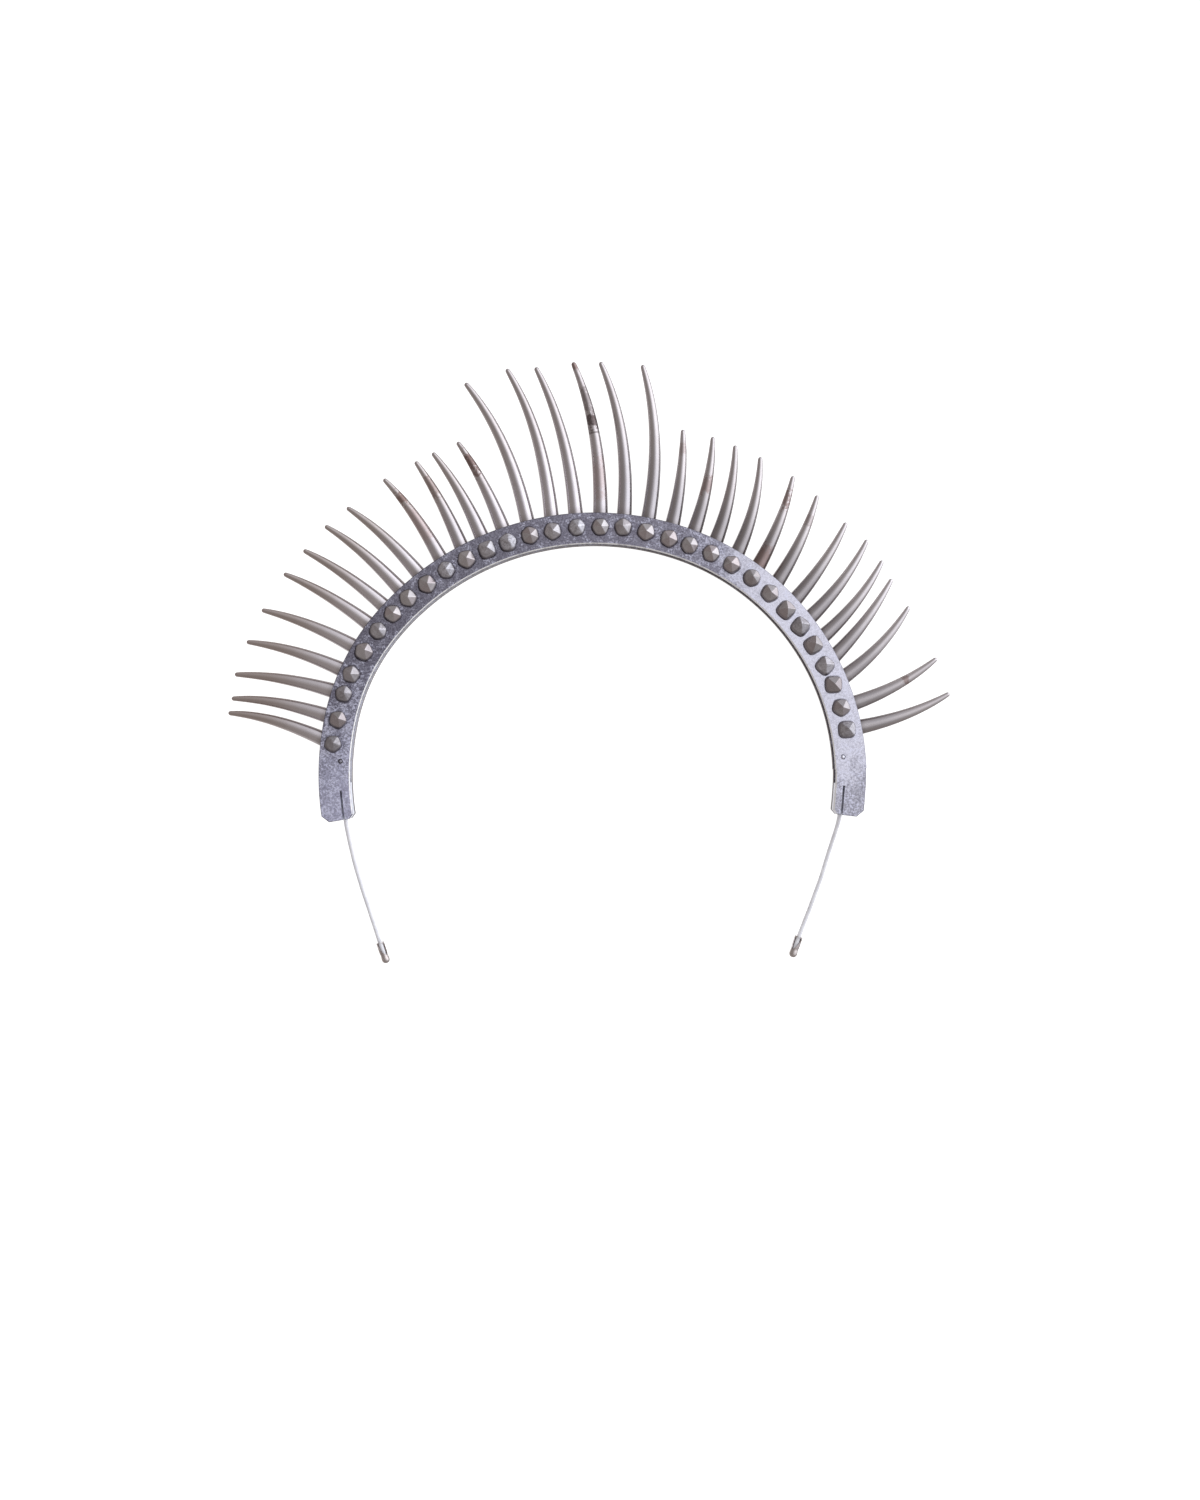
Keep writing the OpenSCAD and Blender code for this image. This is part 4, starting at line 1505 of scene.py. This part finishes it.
@dataclass
class StudRow:
    """Sixteen studs of one half of the band, shaped on their seats by one geometry tree."""

    line: BandLine
    side: Side
    finish: bpy.types.Material
    width: float = 4.8
    height: float = 2.8
    belt: float = 0.9
    rim: float = 0.16
    foot: float = 1.12
    peak: float = 0.16
    corner: float = 3.1
    more_corner: float = 1.7
    around: int = 113
    levels: int = 26
    top_ends: float = 0.76
    bend_ends: float = 0.88
    wall_ends: float = 0.96
    merge: float = 0.002
    wave: float = 0.04
    wave_scale: float = 480.0
    least_wave: float = 0.6
    shade_spread: float = 40.0
    shank_d: float = SHANK_WIDTH
    shank_low: float = 0.1
    shank_in_head: float = 0.04
    seat_gap: float = 0.02

    def edge_to_edge(self, facets: Value, angle: Value, crisp: Value) -> Value:
        """Returns how far a facet's plane stands from the middle, in the direction of an angle.

        Args:
            facets: How many facets there are.
            angle: The angle in radians from the first facet.
            crisp: The power that rounds the ridge between two facets, crisper where it is higher.

        Returns:
            1 in the middle of a facet and less at a ridge.
        """
        bench = facets.bench
        sector = 2 * math.pi / facets
        half = sector * 0.5
        off = bench.maths("ABSOLUTE", bench.maths("FLOORED_MODULO", angle + half, sector) - half)
        here = bench.maths("COSINE", off) ** crisp
        beside = bench.maths("MAXIMUM", bench.maths("COSINE", sector - off), 0.0) ** crisp
        return (here + beside) ** (1.0 / crisp)

    def tree(self) -> GeometryTree:
        """Makes the tree that shapes a faceted head with its shank on every seat.

        Returns:
            The tree.
        """
        tree = GeometryTree(
            f"faceted_studs_{self.side.value}", Seats="Geometry", Half_Width="Float", Height="Float",
            Belt="Float", Rim="Float", Foot="Float", Peak="Float", Corner="Float", Around="Int",
            Levels="Int", Wave="Float", Shank_Half="Float", Shank_Length="Float", Seed="Int",
        )
        bench, into = tree.bench, tree.into
        cloth = bench.add(
            "GeometryNodeMeshGrid",
            {"Size X": 1.0, "Size Y": 1.0, "Vertices X": into["Around"], "Vertices Y": into["Levels"]},
        )
        cloth = bench.add("GeometryNodeInstanceOnPoints", {"Points": into["Seats"], "Instance": cloth})
        cloth = bench.add("GeometryNodeRealizeInstances", {"Geometry": cloth})
        position = bench.add("GeometryNodeInputPosition")
        seat = bench.named("seat", "FLOAT_VECTOR")
        sweep, level, _ = bench.parts(bench.vectors("SUBTRACT", position, seat))
        angle = (sweep + 0.5) * (2 * math.pi)
        level = level + 0.5
        facets = bench.named("facets")
        crisp = bench.named("crisp")
        corner = into["Corner"] + (facets - 4.0) * self.more_corner
        outline = into["Half Width"] * bench.named("wide") / self.edge_to_edge(facets, angle, corner)
        tall = into["Height"] * bench.named("tall")

        top = bench.spread(level, 0.0, self.top_ends, straight=True)
        bend = bench.spread(level, self.top_ends, self.bend_ends, 0.0, math.pi / 2, straight=True)
        wall = bench.spread(level, self.bend_ends, self.wall_ends, straight=True)
        under = bench.spread(level, self.wall_ends, 1.0, 1.0, 0.0, straight=True)
        reach = outline - into["Rim"] * (1.0 - bench.maths("SINE", bend))
        reach = reach * top
        slope = (tall - into["Belt"]) / into["Half Width"]
        flat = reach * self.edge_to_edge(facets, angle, crisp)
        flat = bench.maths("SQRT", flat * flat + into["Peak"] * into["Peak"]) - into["Peak"]
        high = tall - flat * slope - into["Rim"] * (1.0 - bench.maths("COSINE", bend))
        high = bench.maths("MAXIMUM", high, 0.0) * (1.0 - wall)
        reach = reach * (1.0 + wall * (into["Foot"] - 1.0)) * under
        facet = bench.maths("FLOOR", (angle / (2 * math.pi)) * facets + 0.5)
        facet = bench.maths("FLOORED_MODULO", facet, facets)
        draw = facet + bench.named("turn") * self.shade_spread
        shade = bench.add("ShaderNodeTexWhiteNoise", {"W": draw}, noise_dimensions="1D")

        turned = angle + bench.named("turn")
        spot = bench.around(reach, turned, high)
        lean = bench.vectors("SCALE", bench.named("lean", "FLOAT_VECTOR"), scale=high / tall)
        spot = bench.vectors("ADD", bench.vectors("ADD", seat, spot), lean)
        for name, value in (("facet_shade", shade), ("out", top + wall)):
            cloth = bench.store(cloth, name, value)
        heads = bench.add("GeometryNodeSetPosition", {"Geometry": cloth, "Position": spot})
        heads = bench.add("GeometryNodeMergeByDistance", {"Geometry": heads, "Distance": self.merge * MM})
        heads = bench.add("GeometryNodeFlipFaces", {"Mesh": heads})
        lumps = bench.lumps(position, into["Seed"], self.wave_scale, 1.0)
        rise = bench.parts(bench.vectors("SUBTRACT", position, seat))[2]
        rough = self.least_wave + bench.named("grey")
        heads = bench.push_out(heads, lumps * into["Wave"] * rough * bench.spread(rise, 0.0, into["Belt"]))
        heads = bench.add("GeometryNodeSetShadeSmooth", {"Geometry": heads})

        whole = bench.node("GeometryNodeJoinGeometry")
        bench.feed(whole.inputs[0], heads)
        bench.feed(whole.inputs[0], self.shanks(tree))
        tree.end(Value(bench, whole.outputs[0]))
        return tree

    def shanks(self, tree: GeometryTree) -> Value:
        """Puts a shank under every seat, reaching a little way into its head.

        Args:
            tree: The tree that is being built.

        Returns:
            The shanks.
        """
        bench, into = tree.bench, tree.into
        size = {"Vertices": BORE_SIDES, "Radius": into["Shank Half"], "Depth": into["Shank Length"]}
        shank = bench.add("GeometryNodeMeshCylinder", size)
        down = bench.vector(z=into["Shank Length"] * (self.shank_in_head - 0.5))
        shank = bench.add("GeometryNodeTransform", {"Geometry": shank, "Translation": down})
        return bench.add("GeometryNodeInstanceOnPoints", {"Points": into["Seats"], "Instance": shank})

    def seats(self) -> bpy.types.Mesh:
        """Lays out one point for each stud, with the stud's numbers on it.

        Returns:
            The points as a mesh.
        """
        half = len(SPIKES) // 2
        chosen = range(half) if self.side is Side.LEFT else range(half, 2 * half)
        studs = [STUDS[k] for k in chosen]
        level = (self.line.face + self.seat_gap) * MM
        flat = [self.line.point(SPIKES[k].place, SPIKES[k].out) * MM for k in chosen]
        spots = [(spot.x, spot.y, level) for spot in flat]
        mesh = bpy.data.meshes.new(f"studs_{self.side.value}")
        mesh.from_pydata(spots, [], [])
        kinds = ("facets", "grey", "crisp", "wide", "tall", "dim")
        numbers = {kind: [float(getattr(stud, kind)) for stud in studs] for kind in kinds}
        numbers["turn"] = [math.radians(stud.turn) for stud in studs]
        for name, values in numbers.items():
            mesh.attributes.new(name, "FLOAT", "POINT").data.foreach_set("value", values)
        leans = [(stud.lean[0] * MM, stud.lean[1] * MM, 0.0) for stud in studs]
        for name, vectors in (("seat", spots), ("lean", leans)):
            values = [part for vector in vectors for part in vector]
            mesh.attributes.new(name, "FLOAT_VECTOR", "POINT").data.foreach_set("vector", values)
        return mesh

    def build(self) -> bpy.types.Object:
        """Builds the studs of this half as one piece.

        Returns:
            The finished piece.
        """
        node = f"studs_{self.side.value}"
        piece = link(f"{node}_dressed", self.seats())
        self.tree().put_on(piece, {
            "Half Width": self.width / 2 * MM,
            "Height": self.height * MM,
            "Belt": self.belt * MM,
            "Rim": self.rim * MM,
            "Foot": self.foot,
            "Peak": self.peak * MM,
            "Corner": self.corner,
            "Around": self.around,
            "Levels": self.levels,
            "Wave": self.wave * MM,
            "Shank Half": self.shank_d / 2 * MM,
            "Shank Length": (self.line.face - self.shank_low) / (1 - self.shank_in_head) * MM,
            "Seed": 3 if self.side is Side.LEFT else 8,
            "Finish": self.finish,
        })
        bake([piece])
        return hand_over(piece, "stud", node)


@dataclass
class Pin:
    """A small pin through both strips, filed nearly flush, with softly broken rims."""

    line: BandLine
    tab: Tab
    finish: bpy.types.Material
    width: float = PIN_WIDTH
    rim: float = 0.14
    inset: float = 0.05
    dish: float = 0.02
    crown: float = 0.01
    sides: int = 32

    def build(self) -> bpy.types.Object:
        """Builds the pin.

        Returns:
            The finished piece.
        """
        node = f"pin_{self.tab.side.value}"
        centre = self.line.pin_centre(self.tab)
        half = self.width / 2
        low, high = self.inset, self.line.face - self.inset
        levels = (
            (half - self.rim, low),
            (half, low + self.rim),
            (half, high - self.rim),
            (half - self.rim, high - self.dish),
        )
        turns = [2 * math.pi * k / self.sides for k in range(self.sides)]
        form = bmesh.new()
        rings = []
        for radius, height in levels:
            ring = []
            for turn in turns:
                x, y = centre.x + radius * math.cos(turn), centre.y + radius * math.sin(turn)
                ring.append(form.verts.new((x * MM, y * MM, height * MM)))
            rings.append(ring)
        for lower, upper in zip(rings, rings[1:]):
            for k in range(self.sides):
                after = (k + 1) % self.sides
                form.faces.new((lower[k], lower[after], upper[after], upper[k])).smooth = True
        for ring, height in ((rings[0][::-1], low + self.dish), (rings[-1], high + self.crown)):
            peak = form.verts.new((centre.x * MM, centre.y * MM, height * MM))
            for k in range(self.sides):
                form.faces.new((ring[k], ring[(k + 1) % self.sides], peak)).smooth = True
        mesh = make_mesh(node, form, self.finish)
        on_rims = [1.0] * (self.sides * len(levels)) + [0.0, 0.0]
        mesh.attributes.new("rim", "FLOAT", "POINT").data.foreach_set("value", on_rims)
        return hand_over(link(f"{node}_dressed", mesh), "pin", node)


@dataclass
class Crimp:
    """A metal end folded from thin sheet round the cord, with an opening that slants to its inner side."""

    side: Side
    start: tuple[float, float]
    heading: float
    finish: bpy.types.Material
    length: float = 6.55
    width: float = 2.4
    wall: float = 0.24
    open_part: float = 0.62
    open_half: float = 76.0
    rim_part: float = 0.09
    closing: float = 0.55
    seam: float = 1.5
    slant: float = 50.0
    pinch: float = 0.10
    pinch_at: float = 0.62
    pinch_half: float = 0.09
    outer_least: float = 0.05
    inner_least: float = 0.02
    around: int = 30
    steps: int = 30
    crowding: float = 1.5
    crease: float = 40.0

    def ring(self, part: float, inner: bool) -> list[Vector]:
        """Returns a ring of the folded sheet.

        Args:
            part: How far along the crimp it lies, from 0 to 1.
            inner: Whether it is the sheet's inner face.

        Returns:
            The ring's points from one lip to the other, along X, with the opening upwards at the rim.
        """
        half = self.width / 2
        x = self.length * part
        dome_start = self.length - half
        radius = half
        if x > dome_start:
            radius = math.sqrt(max(0.0, half * half - (x - dome_start) ** 2))
        radius *= 1 - self.pinch * math.exp(-((part - self.pinch_at) / self.pinch_half) ** 2)
        radius = max(radius - self.wall, self.inner_least) if inner else max(radius, self.outer_least)
        reach = min(1.0, part / self.open_part)
        gape = self.open_half * min(1.0, part / self.rim_part) * (1 - reach) ** self.closing + self.seam
        middle = QUARTER_TURN - self.slant * reach * (1 if self.side is Side.LEFT else -1)
        points = []
        for k in range(self.around + 1):
            angle = math.radians(middle + gape + (FULL_TURN - 2 * gape) * k / self.around)
            points.append(Vector((x, radius * math.cos(angle), radius * math.sin(angle))))
        return points

    def build(self) -> bpy.types.Object:
        """Builds the crimp.

        Returns:
            The finished piece.
        """
        node = f"crimp_{self.side.value}"
        parts = [1 - (1 - k / self.steps) ** self.crowding for k in range(self.steps + 1)]
        form = bmesh.new()
        outer = [[form.verts.new(p) for p in self.ring(part, False)] for part in parts]
        inner = [[form.verts.new(p) for p in self.ring(part, True)] for part in parts]
        for j in range(self.steps):
            for k in range(self.around):
                form.faces.new((outer[j][k], outer[j][k + 1], outer[j + 1][k + 1], outer[j + 1][k]))
                form.faces.new((inner[j][k], inner[j + 1][k], inner[j + 1][k + 1], inner[j][k + 1]))
            for k in (0, self.around):
                form.faces.new((outer[j][k], outer[j + 1][k], inner[j + 1][k], inner[j][k]))
        for k in range(self.around):
            form.faces.new((outer[0][k], inner[0][k], inner[0][k + 1], outer[0][k + 1]))
            form.faces.new((outer[-1][k], outer[-1][k + 1], inner[-1][k + 1], inner[-1][k]))
        bmesh.ops.recalc_face_normals(form, faces=form.faces)
        for face in form.faces:
            face.smooth = True
        turned = Matrix.Rotation(math.radians(self.heading), 4, "Z")
        place = Matrix.Translation((*self.start, self.width / 2)) @ turned
        form.transform(Matrix.Scale(MM, 4) @ place)
        mesh = make_mesh(node, form, self.finish)
        mesh.set_sharp_from_angle(angle=math.radians(self.crease))
        return hand_over(link(f"{node}_dressed", mesh), "crimp", node)


@dataclass
class Cord:
    """A thin elastic cord that comes out of an end block, drops to the surface and ends in its crimp."""

    side: Side
    route: tuple[tuple[float, float, float], ...]
    finish: bpy.types.Material
    width: float = 1.35
    leaves_at: int = 3
    round_steps: int = 5
    steps: int = 5

    def length(self) -> float:
        """Returns the cord's real length in metres."""
        points = [Vector(p) for p in self.route]
        return sum((b - a).length for a, b in zip(points, points[1:])) * MM

    def build(self) -> bpy.types.Object:
        """Builds the cord as one smooth curve.

        Returns:
            The finished piece.
        """
        node = f"cord_{self.side.value}"
        curve = bpy.data.curves.new(node, "CURVE")
        curve.dimensions = "3D"
        curve.bevel_depth = self.width / 2 * MM
        curve.bevel_resolution = self.round_steps
        curve.resolution_u = self.steps
        curve.use_fill_caps = True
        spline = curve.splines.new("BEZIER")
        spline.bezier_points.add(len(self.route) - 1)
        for knot, spot in zip(spline.bezier_points, self.route):
            knot.co = Vector(spot) * MM
            knot.handle_left_type = "AUTO"
            knot.handle_right_type = "AUTO"
        curve.materials.append(self.finish)
        return hand_over(link(f"{node}_dressed", curve), "cord", node)

    def declare(self, piece: bpy.types.Object, crimp: bpy.types.Object) -> None:
        """Works out where the cord leaves its block, its length and its width, and does nothing with them.

        Args:
            piece: Not used.
            crimp: Not used.
        """
        leaves = [part * MM for part in self.route[self.leaves_at]]
        self.length()
        self.width * MM


LEFT_ROUTE = (
    (-75.3, -2.8, 3.3), (-75, -5.5, 3.3), (-74.7, -8, 3.3), (-74.4, -10.2, 3.3), (-74.1, -12.5, 3.1),
    (-73.7, -15, 2.5), (-73.3, -17.5, 1.7), (-72.8, -20, 1.1), (-72.2, -22.7, 0.8), (-71.4, -25.7, 0.7),
    (-70.5, -28.7, 0.7), (-69.6, -31.7, 0.7), (-68.6, -34.7, 0.7), (-67.6, -37.7, 0.7), (-66.6, -40.8, 0.7),
    (-65.6, -43.8, 0.8), (-64.7, -46.4, 1.1), (-64, -48.4, 1.2), (-62.9, -51.6, 1.2),
)
RIGHT_ROUTE = (
    (75.5, -1.2, 3.3), (75.3, -3.7, 3.3), (75.1, -6.2, 3.3), (74.8, -8.7, 3.3), (74.3, -11.2, 3.1),
    (73.6, -13.9, 2.5), (72.8, -16.7, 1.7), (72, -19.5, 1.1), (71.1, -22.5, 0.8), (70.2, -25.6, 0.7),
    (69.2, -28.7, 0.7), (68.1, -31.7, 0.7), (67, -34.7, 0.7), (65.9, -37.7, 0.7), (64.7, -40.7, 0.7),
    (63.7, -43.3, 0.8), (62.9, -45.3, 1.1), (62.3, -46.9, 1.2), (61.3, -49.9, 1.2),
)


@dataclass(frozen=True)
class Lift:
    """A lighter part of the room: the ranges along X and Z where it comes up, and how bright it is."""

    x: tuple[float, float]
    z: tuple[float, float]
    light: float


@dataclass
class Studio:
    """The camera, the soft room that is brightest low at the right, and the white floor."""

    camera_at: tuple[float, float, float] = (0.0024, 0.0108, 0.5066)
    lens: float = 40.0
    sensor: float = 36.0
    nearest: float = 0.01
    farthest: float = 50.0
    floor_size: float = 8.0
    floor_drop: float = 0.0001
    light_tilt: float = 65.0
    light_side: float = 27.0
    brightest: float = 2.4
    glow: tuple[tuple[float, Colour], ...] = (
        (180, (0.40, 0.37, 0.36)),
        (95, (0.39, 0.36, 0.35)),
        (85, (0.43, 0.405, 0.40)),
        (75, (0.49, 0.47, 0.47)),
        (65, (0.58, 0.57, 0.59)),
        (55, (0.76, 0.76, 0.80)),
        (45, (0.96, 0.97, 1.03)),
        (35, (1.52, 1.56, 1.66)),
        (25, (2.04, 2.10, 2.23)),
        (0, (2.14, 2.20, 2.30)),
    )
    lifts: tuple[Lift, ...] = (
        Lift((-0.08, 0.10), (0.70, 0.95), 0.22),
        Lift((0.3, -0.4), (-0.02, -0.30), 0.25),
        Lift((0.72, 0.95), (0.10, -0.25), 0.3),
    )

    def camera(self) -> bpy.types.Object:
        """Makes the camera straight over the diadem, upright as in the photograph.

        Returns:
            The camera.
        """
        data = bpy.data.cameras.new("camera")
        data.lens = self.lens
        data.sensor_width = self.sensor
        data.sensor_fit = "AUTO"
        data.clip_start = self.nearest
        data.clip_end = self.farthest
        camera = link("camera", data)
        camera.location = self.camera_at
        bpy.context.scene.camera = camera
        LOG.info("camera at %s", self.camera_at)
        return camera

    def room(self) -> None:
        """Lights the room like a broad soft box low at the right, and shows it to the camera as white."""
        world = bpy.data.worlds.new("room")
        bpy.context.scene.world = world
        world.use_nodes = True
        bench = NodeBench(world.node_tree)
        way = bench.outputs(bench.node("ShaderNodeTexCoord"))["Generated"]
        side = towards(self.light_side) * math.sin(math.radians(self.light_tilt))
        axis = (side.x, side.y, math.cos(math.radians(self.light_tilt)))
        closeness = bench.vectors("DOT_PRODUCT", way, axis)
        stops = [
            ((math.cos(math.radians(away)) + 1) / 2, tuple(part / self.brightest for part in colour))
            for away, colour in self.glow
        ]
        light = bench.ramp((closeness + 1.0) * 0.5, stops)
        x, _, z = bench.parts(way)
        lift: Feed = 0.0
        for part in self.lifts:
            lift = bench.spread(x, *part.x) * bench.spread(z, *part.z) * (part.light / self.brightest) + lift
        light = bench.vectors("ADD", light, bench.vector(lift, lift, lift))
        seen = bench.outputs(bench.node("ShaderNodeLightPath"))["Is Camera Ray"]
        back = world.node_tree.nodes["Background"]
        bench.feed(back.inputs["Color"], bench.blend(seen, light, (1.0, 1.0, 1.0)))
        bench.feed(back.inputs["Strength"], bench.spread(seen, 0.0, 1.0, self.brightest, 1.0))
        LOG.info("room lit from %s degrees", self.light_side)

    def floor(self) -> bpy.types.Object:
        """Makes the white floor just under the diadem.

        Returns:
            The floor.
        """
        half = self.floor_size / 2
        mesh = bpy.data.meshes.new("floor")
        ways = ((-1, -1), (1, -1), (1, 1), (-1, 1))
        corners = [(half * x, half * y, -self.floor_drop) for x, y in ways]
        mesh.from_pydata(corners, [], [(0, 1, 2, 3)])
        mesh.materials.append(FloorFinish().build())
        floor = link("floor", mesh)
        floor.visible_glossy = False
        LOG.info("floor laid")
        return floor

    def build(self) -> None:
        """Builds everything round the diadem."""
        scene = bpy.context.scene
        scene.view_settings.view_transform = "Standard"
        scene.view_settings.look = "None"
        self.camera()
        self.room()
        self.floor()


@dataclass
class Cords:
    """Both cords with their crimps."""

    cord_finish: CordFinish = CordFinish()
    crimp_finish: PlainMetalFinish = PlainMetalFinish(
        "bent_metal", (0.60, 0.55, 0.53), (0.30, 0.25, 0.24), rough=0.20,
    )

    def build(self) -> None:
        white = self.cord_finish.build()
        bent = self.crimp_finish.build()
        plans = (
            (Cord(Side.LEFT, LEFT_ROUTE, white), Crimp(Side.LEFT, (-64.3, -47.6), -71.0, bent)),
            (Cord(Side.RIGHT, RIGHT_ROUTE, white), Crimp(Side.RIGHT, (62.7, -45.8), -108.5, bent)),
        )
        for cord, crimp in plans:
            cord.declare(cord.build(), crimp.build())
            LOG.info("cord %s is %.1f mm long", cord.side.value, cord.length() / MM)


@dataclass
class Band:
    """The two strips, the end blocks between them and the pins through them."""

    line: BandLine
    hole_gap: float = 0.05
    rivet_rim: float = 0.05
    front_pin_rim: float = 0.07
    back_pin_rim: float = 0.08
    front_finish: SheetFinish = SheetFinish()
    back_finish: SheetFinish = SheetFinish(
        "back_metal", BACK_LIT_AND_SHADED_TONES, edge=(0.40, 0.36, 0.34), metallic=0.2, pin_gap_shades=(),
    )
    # The end blocks are painted darker at their foot as shade.
    block_finish: PlainMetalFinish = PlainMetalFinish(
        "sawn_metal", (0.90, 0.92, 0.98), (0.70, 0.71, 0.78), rough=0.45, metallic=0.3, seam=3.1,
    )
    # The left pin is painted dark as shade in its hole, and the right pin is painted bright like the painted
    # reflection on the sheet round it.
    pin_finishes: tuple[PlainMetalFinish, ...] = (
        PlainMetalFinish("shaded_pin_metal", (0.42, 0.42, 0.50), (0.20, 0.19, 0.23), rough=0.38, ring=0.95),
        PlainMetalFinish("lit_pin_metal", (0.84, 0.84, 0.94), (0.60, 0.59, 0.66), rough=0.28, ring=0.4),
    )

    def holes(self, pin_rim: float) -> list[Hole]:
        """Lays out the holes of a strip.

        Args:
            pin_rim: How wide the rims of the pins' holes are rounded.

        Returns:
            The rivets' holes and then the pins'.
        """
        rivet, pin = SHANK_WIDTH / 2 + self.hole_gap, PIN_WIDTH / 2 + self.hole_gap
        rivets = [Hole(self.line.point(s.place, s.out), rivet, self.rivet_rim) for s in SPIKES]
        return rivets + [Hole(self.line.pin_centre(tab), pin, pin_rim) for tab in self.line.tabs]

    def build(self) -> None:
        """Builds the strips and pins and dresses the end blocks."""
        front = self.front_finish.build()
        back = self.back_finish.build()
        holes = self.holes(self.front_pin_rim)
        Strip(self.line, "front_plate", self.line.front, front, True, holes).build()
        holes = self.holes(self.back_pin_rim)
        # The back strip's walls are painted dark as shade.
        Strip(self.line, "back_plate", 0.0, back, False, holes, inner_worn=0.19, painted_wall_shade=0.9).build()
        block = self.block_finish.build()
        for tab, pin_finish in zip(self.line.tabs, self.pin_finishes):
            Pin(self.line, tab, pin_finish.build()).build()
            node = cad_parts[f"end_block_{tab.side.value}"]
            node.material_slots[0].material = block
            LOG.info("%s keeps its CAD shape", node.name)


def main() -> None:
    """Builds the studio, then the diadem piece by piece."""
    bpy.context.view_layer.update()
    Studio().build()
    Cords().build()
    line = BandLine()
    Band(line).build()
    SpikeRow(line).build()
    stud_finish = StudFinish().build()
    for side in Side:
        StudRow(line, side, stud_finish).build()
    bpy.context.view_layer.update()


if __name__ == "__main__":
    logging.basicConfig(level=logging.INFO, format="%(name)s: %(message)s")
    main()
